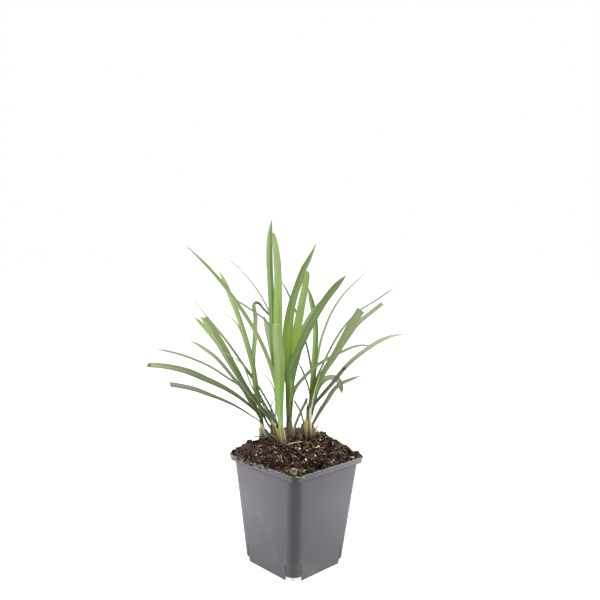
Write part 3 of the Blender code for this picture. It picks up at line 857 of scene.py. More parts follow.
# where pale grains lie, in the plant's frame, and their radius; others are drawn behind the plant
grainForm = {
    "places": (
        (-35.5, -18.0, 1.0), (-12.5, -33.4, 0.7), (-2.9, -34.9, 0.75), (-0.7, -26.2, 0.7), (6.7, -22.5, 1.1),
        (9.8, -18.9, 1.3), (19.5, -12.8, 1.1), (16.6, -26.1, 1.1), (8.4, -32.3, 1.5), (31.5, -25.4, 0.9),
        (51.6, -5.5, 1.4), (2.9, -15.3, 1.4), (-19.9, -10.6, 0.6), (-16.7, -32.3, 0.6), (49.5, -4.2, 0.9)),
    "drawn": 34, "radius": (0.5, 1.2), "stretch": (0.6, 1.3), "shrink": 0.85, "lift": 0.35, "rough": 0.2,
    "seed": 41, "colour": "cfc6a6", "stain": "a3875f", "stainFrom": (0.45, 0.7), "stains": 420, "pits": 1600,
    "bumpDeep": 0.0004, "bumpShare": 0.6, "sharp": 50.0,
}

# where straw and bark flakes lie, in the plant's frame, their length and how light they are
flakeForm = {
    "places": (
        (9.7, -8.1, 3.4, 0.85), (7.0, -12.4, 2.6, 0.95), (19.9, 0.0, 3.0, 0.8), (17.8, -14.2, 2.6, 0.9),
        (8.3, -24.6, 2.4, 0.8), (32.7, -23.2, 3.0, 0.85), (39.6, -11.5, 2.6, 0.75), (30.3, -15.9, 2.2, 0.9),
        (3.2, 2.8, 3.2, 0.75), (32.1, 5.6, 3.6, 0.7), (-35.3, -15.1, 2.8, 0.8), (-13.3, -27.7, 2.0, 0.9),
        (-16.0, -26.8, 1.8, 0.75), (-18.9, -20.9, 2.2, 0.7), (-19.8, -10.3, 1.8, 0.7),
        (-19.7, -3.4, 2.6, 0.6), (-21.9, -14.0, 2.2, 0.65), (-0.7, -14.7, 2.6, 0.8),
        (-2.9, -28.8, 2.0, 0.85), (-17.8, -14.3, 1.8, 0.7),
        (25.0, -19.0, 2.8, 0.7), (13.5, -30.5, 2.2, 0.7), (44.0, -4.0, 2.4, 0.7), (23.5, -7.5, 3.4, 0.6),
        (36.0, -4.5, 2.8, 0.65), (12.5, -15.5, 2.2, 0.75), (-44.0, -6.0, 2.2, 0.6), (-28.0, -24.0, 2.2, 0.6)),
    "wide": (0.16, 0.3), "thick": (0.08, 0.14), "lift": 0.45, "tip": 30, "rough": 0.16, "seed": 61,
    "sharp": 50.0,
}


def makeFlakes():
    # flat stretched lumps
    f = flakeForm
    rng, n = np.random.default_rng(f["seed"]), len(f["places"])
    u, v, length, tone = np.array(f["places"]).T
    x, y, _ = toPot(np.stack([u, v, 0 * u], axis=1)).T
    wide, thick = length * rng.uniform(*f["wide"], n), length * rng.uniform(*f["thick"], n)
    sizes = np.stack([length / 2, wide, thick], axis=1)
    flakes = stones(rng, onSoil(x, y, f["lift"]), sizes, flatTurns(rng, n, f["tip"]), 2, f["rough"],
                    tone=tone)
    makePiece("flakes", [flakes], fibreFinish(), f["sharp"])


def makeGrains():
    # pale pitted lumps, stained in places
    f = grainForm
    rng = np.random.default_rng(f["seed"])
    placed = toPot([(u, v, 0) for u, v, _ in f["places"]])
    x, y = scatter(rng, f["drawn"], litterForm["grainInset"])
    keep = (y * math.cos(plantTurn) - x * math.sin(plantTurn)) > 0        # those behind the plant
    x, y = np.concatenate([placed[:, 0], x[keep]]), np.concatenate([placed[:, 1], y[keep]])
    radius = np.concatenate([[r for *_, r in f["places"]], rng.uniform(*f["radius"], keep.sum())])
    sizes = f["shrink"] * radius[:, None] * rng.uniform(*f["stretch"], (len(x), 3))
    finish = Finish("perlite", Roughness=0.85)
    here = finish.place()
    pits = finish.noise(here, f["pits"], 3)
    stain = finish.step(finish.noise(here, f["stains"], 2), *f["stainFrom"]) * 0.6
    colour = finish.mix(shade(f["colour"]), shade(f["stain"]), stain)
    finish.set(Base_Color=finish.scaled(colour, 0.75 + 0.4 * pits))
    finish.bump(pits, f["bumpDeep"], f["bumpShare"])
    grains = stones(rng, onSoil(x, y, f["lift"] * radius), sizes, turns(rng, len(x)), 2, f["rough"])
    makePiece("paleGrains", [grains], finish, f["sharp"])


makeCrumbs()
makeFibres()
makeGrains()
makeFlakes()
print("soil litter made")


def leaf(*places, width, turn=(0, 0), roll=(0, 0), neck=0.7, root=0.5, swell=0.35, taper=0.6, cut=0.85,
         end="point", tone="mid", up=None, pinch=None, spots=(), slant=0.0, pale=0.35, dusk=0.2, shaded=0.14):
    # the places a leaf passes after its shoot, the last its tip, in the plant's frame; its width; how its
    # face turns about upright and rolls about its length, in degrees; how far up the stem it leaves; its
    # width at the root, where it is full, where it starts to taper, and its width at a cut end; its end;
    # its green low down and further up; where it is pinched, how much and how far; brown spots, each a
    # place and a size; the slant of a cut; how pale and how dusky its foot is, and how much darker its
    # right or lower half
    return {"places": places, "width": width, "turn": turn, "roll": roll, "neck": neck, "root": root,
            "swell": swell, "taper": taper, "cut": cut, "end": end, "tone": tone, "up": up or tone,
            "pinch": pinch, "spots": spots, "slant": slant, "pale": pale, "dusk": dusk, "shaded": shaded}


greens = {
    "mid": "8aa55c", "fresh": "98b856", "pale": "c8d6a5", "grey": "7c9660", "vivid": "82b01c",
    "lime": "8cb038", "deep": "6c8e40", "ash": "7b8068", "dull": "758558", "cream": "cfd0a6",
    "straw": "b9a77c", "brown": "34291c", "under": "96a67a", "bright": "9cc75c", "sage": "7f8c60",
    "slate": "687258", "pewter": "9f9d93", "khaki": "b2cd7c", "dim": "85916a", "shade": "5f7642",
    "light": "b0d07c", "haze": "a2b376", "dusty": "7d9558", "soft": "98b173", "tall": "6a8a42",
    "hay": "a2ab86", "meadow": "7f9f45", "spring": "a5bd7b",
}

# each shoot's crown in the plant's frame, its stem's radius, height, radius at the top, lean and skins
shoots = {
    "front": {
        "crown": (-12.5, -2), "radius": 2.7, "height": 16, "top": 1.5, "lean": (-1.6, -0.5),
        "skin": "7d6650", "tipSkin": "8d9b5d",
        "leaves": (
            leaf((-14.2, -4, 124.6), (-15.7, -7, 139.2), (-16.5, -11, 154.8), (-16.5, -18, 172.6),
                 (-16.5, -32, 192), (-17.9, -46, 212.3), (-18.4, -57, 226.7), width=9.4, turn=(5, 0),
                 neck=0.2, root=0.42, swell=0.5, cut=0.72, end="cut", tone="bright", up="khaki",
                 slant=0.15, pale=0.7, dusk=0.22),
            leaf((-15.4, 0, 133.7), (-17.5, 1, 159.5), (-19, 3, 200.7), (-20, 12, 237.5),
                 (-20.6, 17, 257.6), (-21.3, 19.5, 270.5), (-22.3, 21.5, 280.6), (-23.6, 23, 289.9),
                 (-25.2, 24, 298.2), (-26, 24, 302.9), width=8.2, turn=(-20, -30), root=0.4,
                 pinch=(0.98, 0.2, 0.08), end="blunt", tone="fresh", up="spring"),
            leaf((-16.8, 3, 132.9), (-19.7, 6, 160.2), (-24, 9, 199.7), (-26.7, 26, 236.2),
                 (-29.1, 36, 263.1), (-30.3, 42, 282.1), (-30.6, 47, 296.5), (-30.2, 50, 304.5),
                 (-29.4, 54, 315.7), width=6.2, turn=(-10, 10), root=0.45, swell=0.7, taper=0.82,
                 tone="tall", up="dusty", shaded=0.2),
            leaf((-18.1, 8, 148.5), (-20.9, 24, 166), (-25.3, 42, 185), (-30.5, 60, 202.1),
                 (-36.1, 76, 219.4), width=5.8, turn=(10, 10), taper=0.85, tone="under"),
            leaf((-28, -4, 189), (-60, -7, 244), (-100, -10, 288), width=5.9, turn=(35, 50), tone="haze",
                 up="soft"),
        )},
    "centre": {
        "crown": (-7, 4), "radius": 2.3, "height": 36, "top": 1.9, "lean": (-0.5, 1.0), "skin": "4c3d2b",
        "tipSkin": "6f744c",
        "leaves": (
            leaf((-15, 19, 181), (-24.9, 32, 208.8), (-33.1, 39, 219.4), (-44.3, 46, 226.2),
                 (-58.8, 54, 234.5), (-71.4, 60, 240.7), width=3.4, taper=0.8, tone="slate"),
            leaf((-15, 25, 184), (-34, 53, 234), (-72, 84, 275), width=2.5, turn=(10, 20), taper=0.8,
                 tone="slate", up="pewter"),
            leaf((-7.4, -4, 171.8), (-9.8, -11, 198.5), (-9.1, -19, 224.6), (-6.5, -25, 241),
                 (-1.8, -32, 257.5), (2.9, -38, 272), (7.6, -42, 281.9), (12.2, -46, 292.8), width=6.5,
                 turn=(-15, 0), taper=0.72, pinch=(0.53, -0.42, 0.13), tone="vivid", up="dusty",
                 dusk=0.5),
            leaf((-7, 12, 168.7), (-4.4, 20, 193.8), (-1.2, 28, 216.6), (1.9, 35, 236.1),
                 (4.4, 41, 250.1), (7, 48, 267.3), width=8.4, turn=(10, 20), end="blunt", tone="lime",
                 up="mid", dusk=0.4),
            leaf((-6.3, -8, 181.8), (1.2, -16, 202.2), (8.3, -22, 219.2), (15.5, -27, 234.1),
                 (22.9, -32, 247), (29.1, -36, 255.9), (34.3, -39, 262.6), (38.3, -41, 267.4), width=6.7,
                 turn=(-45, -30), taper=0.87, tone="deep", up="dusty", shaded=0.32),
            leaf((-5.3, 15, 170), (-0.5, 22, 190.7), (3.6, 29, 208.4), (11.1, 37, 224.5),
                 (19.4, 42, 236.8), (24.4, 44, 242.6), width=6.5, turn=(20, 35), up="under"),
            leaf((-0.8, 6, 162.5), (5.5, 7, 170.1), (11.4, 8, 176.4), (20, 9, 183.3), (30.1, 10, 189.3),
                 (39.7, 11, 193.9), (45.1, 12, 196.5), (51.8, 13, 199.1), (59.5, 14, 200.7),
                 (67.7, 14, 200.3), width=4.2, turn=(45, 40), taper=0.88, tone="dull", up="slate"),
            leaf((-2.6, 5, 120.4), (-1.8, 6, 125.8), (0.4, 7.5, 131.2), (3.5, 9.5, 138.3), (7, 13, 145.1),
                 (9.1, 16, 149.7), width=2.7, turn=(70, 70), neck=0.1, taper=0.9, tone="sage", up="ash"),
        )},
    "east": {
        "crown": (11, 16), "radius": 3.2, "height": 14, "top": 2.4, "lean": (-1.2, 0.0), "skin": "7d6446",
        "tipSkin": "a3a05e",
        "leaves": (
            leaf((13.4, 22, 150.8), (14, 24, 164.8), (14.6, 28, 177.6), (15.4, 32, 190.4),
                 (15.9, 36, 203.4), (15, 41, 218.3), (12.7, 46, 231.4), (10.4, 49, 240.9),
                 (7.6, 51, 251.5), width=5.6, turn=(10, 20), root=0.7, taper=0.82, tone="meadow",
                 up="deep", dusk=0.05, pale=0.1, shaded=0.25),
            leaf((12.3, 25, 147.2), (12.6, 27, 169), (8, 34, 193.8), (0, 42, 217), (-9.1, 50, 239.4),
                 (-20, 57, 258.4), width=3.2, turn=(20, 20), taper=0.85, tone="slate"),
            leaf((12.2, 14, 145.9), (10, 14, 159.2), (6, 13, 170.7), (-0.8, 11, 185), width=3.2,
                 taper=0.8, tone="slate"),
            leaf((14.7, 30, 152), (16.8, 36, 170.3), (19.7, 44, 188.6), (22, 49, 200.3),
                 (25.6, 55, 210.4), (31, 62, 223.3), (38.3, 69, 235.3), (45.8, 75, 245), (54, 80, 253.1),
                 (69.2, 88, 267.4), width=3.1, turn=(0, -20), root=0.3, taper=0.75, tone="dusty",
                 up="ash"),
            leaf((14.2, 24, 151.4), (18.6, 30, 166.7), (24.2, 35, 178.5), (29.2, 39, 189.3),
                 (38, 44, 204.9), (48.4, 48, 218.9), (62, 54, 231.2), (73.9, 58, 238.3),
                 (84.9, 61, 245.6), (93.9, 62, 252.9), width=3.3, taper=0.88, tone="slate", up="ash"),
            leaf((14, 12, 145.5), (16.1, 8.5, 154.9), (18.8, 5, 164.6), (23.9, -2, 178.1),
                 (32.2, -9, 193.1), (39.8, -17, 209.9), (46, -24, 224.2), (53.2, -30, 237.4), width=8.2,
                 turn=(-20, -30), neck=0.4, root=0.35, swell=0.85, cut=1.0, end="cut", up="haze",
                 slant=-0.25, shaded=0.25),
            leaf((14.2, 22, 147), (22.9, 23, 170.9), (28.4, 24, 178.7), (35, 25, 187.4),
                 (40.1, 26, 196.1), (47.7, 27.5, 207.7), (53.8, 29, 216.5), (62.4, 30, 224.8),
                 (70.9, 31, 231.6), (79.2, 32, 238.4), width=6.8, turn=(15, 30), end="cut", tone="dull",
                 up="dim", shaded=0.35),
            leaf((12.9, 17, 135.7), (16.8, 16, 143.7), (23.7, 14, 153.2), (31, 11, 162.8),
                 (43.4, 4, 181.2), (60.8, -5, 199.2), (77.5, -12, 211), (93.3, -18, 216.2), width=5.4,
                 turn=(50, 60), neck=0.3, taper=0.8, tone="slate", up="hay", spots=((0.53, 2.3),),
                 dusk=0.35, shaded=0.3),
            leaf((14, 24, 142.7), (16.2, 27, 150.7), (19.1, 30, 157.4), (23.6, 33, 162.5),
                 (29, 36, 165.1), (34.4, 37.5, 165.1), (38.9, 38.5, 162), (41.5, 40, 156.3),
                 (42.9, 41, 148.7), width=6.4, turn=(50, -50), roll=(0, -90), neck=0.3, swell=0.25,
                 taper=0.8, pinch=(0.74, 0.22, 0.1), tone="grey", up="under", shaded=0.25),
            leaf((15.2, 13, 125.3), (20.2, 9, 136.4), (24.2, 5, 144.1), (27.4, 1, 151.2),
                 (29.9, -2, 156.6), (33.1, -7, 162.8), (36, -11, 166.9), (40.1, -16, 170.8),
                 (44.1, -21, 174.1), (49.7, -27, 177.9), (54.8, -32, 180.3), width=4.9, roll=(10, 35),
                 neck=0.1, taper=0.7, tone="dim", up="pewter", dusk=0.1, shaded=0.35),
            leaf((6.3, 12, 126.3), (3.7, 10, 136.3), (0.1, 8, 143.3), (-3.5, 6, 149.8), width=1.7,
                 turn=(70, 70), neck=0.1, taper=0.9, tone="slate"),
        )},
    "west": {
        "crown": (-32, 22), "radius": 2.2, "height": 14, "top": 1.7, "lean": (-0.5, 0.5),
        "skin": "c3bd94", "tipSkin": "a9bd80",
        "leaves": (
            leaf((-34, 17, 124.1), (-44.2, 13, 132.5), (-53.2, 8, 139.6), (-66.4, 0, 148.4),
                 (-78.8, -10, 155.9), (-90.5, -22, 163.3), (-101.6, -34, 168.7), (-108.7, -42, 171.5),
                 width=4.5, turn=(-60, -60), roll=(0, 32), neck=0.2, root=0.32, swell=0.85, cut=1.0,
                 end="cut", tone="slate", up="ash", dusk=0.3, shaded=0.3),
            leaf((-34.2, 19, 128.3), (-44.7, 18, 139.9), (-54.1, 16, 148), (-66.1, 13, 156.3),
                 (-84.2, 8, 165.9), (-102.1, 4, 174.2), (-121.9, 2, 178.7), (-138.4, 2, 179.3), width=6.4,
                 turn=(-45, -60), roll=(0, 35), neck=0.3, root=0.3, swell=0.75, cut=1.0, end="cut",
                 tone="dull", up="sage", spots=((0.985, 1.5),), dusk=0.3, shaded=0.3),
            leaf((-33.9, 16, 125.3), (-39.2, 15, 136), (-45.4, 14, 145.6), (-51, 12, 156.4),
                 (-60.1, 8, 168.3), (-76.5, -3, 190.3), (-96.2, -14, 205.1), width=3.6, turn=(-60, -60),
                 roll=(0, 25), neck=0.3, root=0.35, swell=0.5, taper=0.82, tone="dull", up="hay",
                 dusk=0.35),
            leaf((-49, 23, 154), (-72, 24, 191), (-99, 26, 222), width=5, turn=(-30, -45), taper=0.9,
                 tone="haze"),
            leaf((-33.9, 19, 127.4), (-36.4, 21, 139.3), (-39.8, 25, 155.7), (-44.5, 28, 180.1),
                 (-50.3, 31, 199.3), (-57, 34, 218), (-67, 37, 242.1), (-77.9, 40, 265.4), width=6.2,
                 turn=(-10, -30), neck=0.5, taper=0.82, up="haze"),
        )},
    "midwest": {
        "crown": (-21, 15), "radius": 2.4, "height": 12, "top": 1.9, "lean": (-0.5, 0.0),
        "skin": "5a4638", "tipSkin": "6b6442",
        "leaves": (
            leaf((-20.6, 13, 121), (-25.4, 12, 128), (-30.9, 11, 136.3), (-37.6, 9, 145.1),
                 (-43.5, 5, 153.4), (-49.7, 0, 163.6), (-65.1, -20, 196.9), (-80.6, -44, 229.9),
                 width=9.3, turn=(20, 35), neck=0.1, root=0.38, swell=0.8, cut=0.74, end="cut",
                 tone="shade", up="light", slant=-0.2, dusk=0.1, pale=0.0),
            leaf((-18, 4, 124.1), (-25.3, 8, 136.1), (-33.2, 14, 144.9), (-44.9, 24, 151),
                 (-62.6, 34, 159.6), (-91, 48, 173), (-117.4, 53, 181.6), (-140.8, 58, 185.5), width=2.9,
                 turn=(-20, -20), roll=(0, 25), neck=0.2, root=0.6, taper=0.92, tone="slate", up="ash",
                 pale=0.0),
            leaf((-17.5, 5, 122.9), (-21.6, 9, 134.1), (-25.7, 14, 140.3), (-32.9, 22, 150.7),
                 (-43.2, 32, 162.4), (-59.1, 44, 181.4), (-72.1, 54, 196), (-88.5, 64, 213.9),
                 (-106.8, 74, 232.8), width=3.4, turn=(0, -15), neck=0.2, root=0.45, swell=0.5,
                 taper=0.55, tone="slate", up="under", pale=0.0),
            leaf((-23.9, 18, 135.6), (-29.5, 24, 144.6), (-38.3, 32, 156.2), (-46.8, 40, 167.2),
                 (-58.6, 50, 178), width=3, turn=(20, 30), root=0.4, tone="dull", pale=0.0),
            leaf((-21, 30, 135), (-25, 45, 154), (-41, 60, 168), width=2.5, turn=(40, 50), tone="pewter"),
            leaf((-23, 13, 129), (-25, 13, 140), (-20, 14, 150), width=3, turn=(50, 50), tone="dusty"),
            leaf((-25.4, 16, 120.7), (-31, 20, 130.1), (-36.2, 25, 141.3), (-40.6, 33, 154),
                 (-43.6, 42, 179.7), (-43.1, 52, 202.9), (-43.4, 60, 218.9), (-44.2, 66, 233.6),
                 (-42.4, 67.5, 233.7), (-35.9, 69, 227.2), (-27.7, 71, 218.6), width=5.2, turn=(-60, 75),
                 roll=(0, 90), neck=0.2, pinch=(0.96, 0.4, 0.12), tone="deep", up="dull", end="blunt",
                 dusk=0.5, shaded=0.3),
            leaf((-39.8, 40, 152.5), (-46.5, 48, 173.6), (-53.4, 56, 194.1), (-58.6, 62, 205.8),
                 (-63.7, 67, 212.6), (-70.4, 72, 217.7), (-78.5, 76, 220.9), width=2.5, turn=(15, 15),
                 roll=(0, 30), tone="dusty", up="pewter", pale=0.0),
            leaf((-24.5, 13, 128), (-33, 8, 145), (-41.4, 0, 161), (-45.7, -6, 173.2),
                 (-49.4, -12, 183.4), (-53.7, -18, 189.6), (-59.9, -22, 194.2), (-67.8, -24, 198.6),
                 width=1.5, turn=(0, 15), roll=(0, -30), neck=0.1, root=0.9, taper=0.7, tone="dull",
                 up="pale", pale=0.0),
        )},
}

# a blade's thickness, groove and ends, in millimetres and in shares of its length, and where its colours
# change; dry is how far from its end a leaf dries, and how much
leafForm = {
    "steps": 64, "across": 9, "rootRise": 2.0, "crowding": 1.15, "seed": 500, "sway": 0.18,
    "swayFrom": (0.1, 0.4), "thick": 0.42, "edge": 0.16, "keel": 0.3, "keelWidth": 0.16, "slimUnder": 1.5,
    "slimLeast": 0.45, "fold": (0.50, 0.26), "foldPower": 4, "foldSoft": 0.015, "tipPower": 3.0,
    "tipWidth": 1.0, "bluntFrom": 0.6, "bluntFall": 0.3, "roundFrom": 0.955, "roundFall": 0.85,
    "cutFrom": 0.75, "cutPower": 1.5, "slantFrom": 0.985, "duskUpTo": (0.12, 0.65), "edgeDark": 0.2,
    "edgeFrom": (0.7, 1.0), "shadedFrom": (-0.1, 0.35), "upperFrom": (0.4, 0.95), "spotLength": 1.3,
    "paleUpTo": (6.0, 46.0), "dry": {"point": (2.5, 1.0), "blunt": (1.3, 1.0), "cut": (1.3, 0.4)},
    "dryTip": 0.1, "mapStep": 400.0, "sharp": 40.0,
}

# the leaf's skin: veins and stretched patterns along it, and how much each one lights and dries it
leafLook = {
    "vein": 0.62, "streaks": (1.4, 0.045, 1), "patches": (0.10, 0.035, 1), "grain": (5.0, 0.5, 1),
    "light": 0.78, "base": 0.46, "streakLight": 0.58, "patchLight": 0.40, "veinLight": 0.04,
    "grainLight": 0.12, "middleFrom": (0.42, 0.10), "middleShare": 0.22, "underShare": 0.22,
    "paleFrom": (0.45, 1.2), "paleShare": 0.7, "dryFrom": (0.6, 1.1), "dryShare": 0.6,
    "spotFrom": (0.5, 0.75), "spotShare": 0.9, "rough": 0.40, "bumpDeep": 0.00010, "bumpShare": 0.5,
}


def groundAt(shoot):
    # the smooth soil's height at a shoot's crown
    x, y, _ = toPot((*shoot["crown"], 0.0))
    return float(smoothSoil(x, y, bumps=False))


finePlaces = 400                                     # places worked out along each curve


def smoothPath(places, shares):
    # places joined by cubics, their slopes from the parabola through each place and its neighbours
    places = np.array(places, float)
    knots = np.concatenate([[0], np.cumsum(np.linalg.norm(np.diff(places, axis=0), axis=1))])
    slopes = np.gradient(places, knots, axis=0, edge_order=2)
    t = np.linspace(0, knots[-1], finePlaces)
    k = np.clip(np.searchsorted(knots, t, side="right") - 1, 0, len(knots) - 2)
    span = (knots[k + 1] - knots[k])[:, None]
    f = (t - knots[k])[:, None] / span
    curve = ((1 + 2 * f) * (1 - f) ** 2 * places[k] + f * (1 - f) ** 2 * span * slopes[k]
             + f ** 2 * (3 - 2 * f) * places[k + 1] + f ** 2 * (f - 1) * span * slopes[k + 1])
    length = np.concatenate([[0], np.cumsum(np.linalg.norm(np.diff(curve, axis=0), axis=1))])
    wanted = np.asarray(shares) * length[-1]
    return np.stack([np.interp(wanted, length, curve[:, axis]) for axis in range(3)], axis=1), length[-1]


def ease(value, low, high):
    # 0 below low, 1 above high, smooth between
    t = np.clip((value - low) / (high - low), 0, 1)
    return t * t * (3 - 2 * t)


def widthsAlong(shares, form):
    # narrower at the root, full from the swell up, then a point, a blunt end or a cut
    f, width, end = leafForm, form["width"], form["end"]
    rise = form["root"] + (1 - form["root"]) * ease(shares, 0, form["swell"])
    if form["pinch"]:
        where, depth, reach = form["pinch"]
        rise = rise * (1 - depth * np.exp(-((shares - where) / reach) ** 2))
    if end == "point":
        fall = np.clip((shares - form["taper"]) / (1 - form["taper"]), 0, 1)
        return np.maximum(width * rise * (1 - fall ** f["tipPower"]), f["tipWidth"])
    if end == "blunt":
        fall = 1 - f["bluntFall"] * np.clip((shares - f["bluntFrom"]) / (1 - f["bluntFrom"]), 0, 1)
        corner = 1 - ease(shares, f["roundFrom"], 1.0) ** 2 * f["roundFall"]
        return width * rise * fall * np.sqrt(np.clip(corner, 0, 1))
    fall = np.clip((shares - f["cutFrom"]) / (1 - f["cutFrom"]), 0, 1) ** f["cutPower"]
    return width * rise * (1 - (1 - form["cut"]) * fall)


def strapFrame(points, turn=(0, 0), roll=(0, 0)):
    # tangent, side and upper directions; the side is level and square to the course, then turned and rolled
    tangent, count = unit(np.gradient(points, axis=0)), len(points)
    course = points[-1] - points[0]
    angle = math.atan2(course[1], course[0]) + math.pi / 2 + np.radians(np.linspace(*turn, count))
    side = np.stack([np.cos(angle), np.sin(angle), np.zeros(count)], axis=1)
    side = unit(side - tangent * np.sum(side * tangent, axis=1)[:, None])
    upper = np.cross(tangent, side)
    lean = np.radians(np.linspace(*roll, count))[:, None]
    return tangent, side * np.cos(lean) - upper * np.sin(lean), upper * np.cos(lean) + side * np.sin(lean)


def leafCourse(shoot, form, number):
    # shares of the length, and the places there: from the shoot's foot through its collar, swaying a little
    f, rng = leafForm, np.random.default_rng(leafForm["seed"] + number)
    shares = np.linspace(0, 1, f["steps"] + 1)
    if form["end"] != "point":
        shares = 1 - (1 - shares) ** f["crowding"]
    crown, lean, neck = np.array(shoot["crown"]), np.array(shoot["lean"]), form["neck"]
    low = groundAt(shoot) + f["rootRise"]
    collar = (*(crown + lean * neck), low + 1 + (shoot["height"] - f["rootRise"] - 1) * neck)
    points, length = smoothPath([(*crown, low), collar, *form["places"]], shares)
    tangent, side, upper = strapFrame(points, form["turn"], form["roll"])
    wave = sum(rng.normal(0, 1) * np.sin(2 * math.pi * (shares * k + rng.random())) / k for k in (2, 3, 5))
    points = points + (side * (wave * f["sway"])[:, None]) * ease(shares, *f["swayFrom"])[:, None]
    return shares, length, points, tangent, side, upper


def leafTone(form, shares, across, side):
    # from its lower to its upper green, dusky at its foot, darker at its edges and on its shaded half
    f = leafForm
    dim = 1 - form["dusk"] * (1 - ease(shares, *f["duskUpTo"]))[:, None]
    dim = dim - f["edgeDark"] * ease(np.abs(across), *f["edgeFrom"])
    darkSide = np.sign(side[:, 0] - side[:, 2]).mean()
    dim = dim * (1 - form["shaded"] * ease(across * darkSide, *f["shadedFrom"]))
    share = ease(shares, *f["upperFrom"])[:, None, None]
    return (linear(greens[form["tone"]]) * (1 - share) + linear(greens[form["up"]]) * share) * dim[..., None]


def makeLeaf(shoot, form, number):
    # a shallow grooved strap: its faces are the path plus across times half width along the side,
    # and the groove's rise and the blade's thickness along the upper direction
    f = leafForm
    shares, length, points, tangent, side, upper = leafCourse(shoot, form, number)
    half = widthsAlong(shares, form)[:, None] / 2
    across = np.linspace(-1, 1, f["across"])[None, :]
    fold = (f["fold"][1] + (f["fold"][0] - f["fold"][1]) * (1 - shares) ** f["foldPower"])[:, None]
    lift = fold * half * (np.sqrt(across ** 2 + f["foldSoft"]) - math.sqrt(f["foldSoft"]))
    keel = f["keel"] * np.exp(-(across / f["keelWidth"]) ** 2)
    thick = f["edge"] + (f["thick"] - f["edge"]) * (1 - across ** 2) + keel
    thick = thick * np.clip(half / f["slimUnder"], f["slimLeast"], 1)
    spread = points[:, None] + side[:, None] * (half * across)[..., None]
    end = (ease(shares, f["slantFrom"], 1.0)[:, None] * form["slant"] * half * across)[..., None]
    top = spread + upper[:, None] * lift[..., None] + end * tangent[:, None]
    bottom = top - upper[:, None] * thick[..., None]
    along = (shares * length)[:, None] + 0 * across
    dryReach, dryShare = f["dry"][form["end"]]
    dry = ease(along, length - dryReach, length - f["dryTip"]) * dryShare
    spot = 0 * along + sum(
        np.exp(-((along - where * length) / size) ** 2 - ((half * across) / (f["spotLength"] * size)) ** 2)
        for where, size in form["spots"])
    pale = (1 - ease(along, *f["paleUpTo"])) * form["pale"]
    place = np.stack([half * across + 0 * along, along + f["mapStep"] * number], axis=-1)
    return closedStrip(toPot(top), toPot(bottom), tone=leafTone(form, shares, across, side), map=place,
                       dry=dry, spot=spot, pale=pale, under=(0 * along, np.ones_like(along)))


def leafFinish():
    # lengthwise veins and streaks over each leaf's own green, paler at its foot, dry at its end
    f = leafLook
    finish = Finish("leaf_green", IOR=1.42, Specular_IOR_Level=0.35, Sheen_Weight=0.08)
    where = finish.node("UVMap", {"uv_map": "map"})

    def pattern(stretch, detail):
        return finish.noise(finish.node("Mapping", None, {"Vector": where, "Scale": stretch}), 1.0, detail)
    streak, patch, fine = pattern(f["streaks"], 3), pattern(f["patches"], 2), pattern(f["grain"], 2)
    across = finish.node("SeparateXYZ", None, {0: where}, 0)
    vein = finish.node("Math", {"operation": "SINE"}, {0: across * (2 * math.pi / f["vein"])})
    light = f["base"] + f["streakLight"] * streak + f["patchLight"] * patch + f["veinLight"] * vein
    colour = finish.scaled(finish.reading("tone", 0), (light + f["grainLight"] * fine) * f["light"])
    middle = finish.step(finish.node("Math", {"operation": "ABSOLUTE"}, {0: across}), *f["middleFrom"])
    colour = finish.mix(colour, shade(greens["cream"], 0.6), middle * f["middleShare"])
    colour = finish.mix(colour, shade(greens["under"], 0.7), finish.reading("under") * f["underShare"])
    paleness, dryness = finish.reading("pale") + 0.35 * streak, finish.reading("dry")
    colour = finish.mix(colour, shade(greens["cream"], 0.75),
                        finish.step(paleness, *f["paleFrom"]) * f["paleShare"])
    colour = finish.mix(colour, shade(greens["straw"], 0.75),
                        finish.step(dryness + 0.5 * streak, *f["dryFrom"]) * f["dryShare"])
    colour = finish.mix(colour, shade(greens["brown"]),
                        finish.step(finish.reading("spot") + 0.3 * fine, *f["spotFrom"]) * f["spotShare"])
    finish.set(Base_Color=colour, Roughness=f["rough"] + 0.16 * streak + 0.1 * dryness)
    finish.bump(vein * 0.5 + fine * 0.4 + streak * 0.4, f["bumpDeep"], f["bumpShare"])
    return finish


def makeLeaves():
    # one piece for each shoot, its leaves numbered on through them all
    finish, number = leafFinish(), 0
    for name, shoot in shoots.items():
        blades = []
        for form in shoot["leaves"]:
            blades.append(makeLeaf(shoot, form, number))
            number += 1
        made = makePiece("leaves_" + name, blades, finish, leafForm["sharp"])
        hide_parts("shoot_" + name)


makeLeaves()
print("leaves made")


# a stem's grid, its foot under the soil, the flare there, and the laps and ridges of its rolled sheaths
stemForm = {
    "round": 28, "up": 22, "foot": 4.0, "flare": 0.5, "flareFall": 3.0, "lap": 0.35, "lapStart": 0.13,
    "lapTwist": 0.7, "lapFade": 0.4, "ridge": 0.12, "ridges": (9, 23), "ridgeShares": (0.5, 0.3),
    "streaks": 13, "closing": 0.72, "tipFrom": 0.25,
}


def stemPlan(shoot, level):
    # share of the stem's height, its radius there and its middle, which leans as it rises
    share = np.clip(level / shoot["height"], 0, 1)
    wide = shoot["radius"] + (shoot["top"] - shoot["radius"]) * share
    return share, wide, np.array(shoot["crown"]) + np.array(shoot["lean"]) * share[..., None]


def aroundStem(middle, radius, angle, height):
    # places at a radius and an angle round the stem's middle
    return np.stack([middle[..., 0] + radius * np.cos(angle), middle[..., 1] + radius * np.sin(angle),
                     height + 0 * angle], axis=-1)


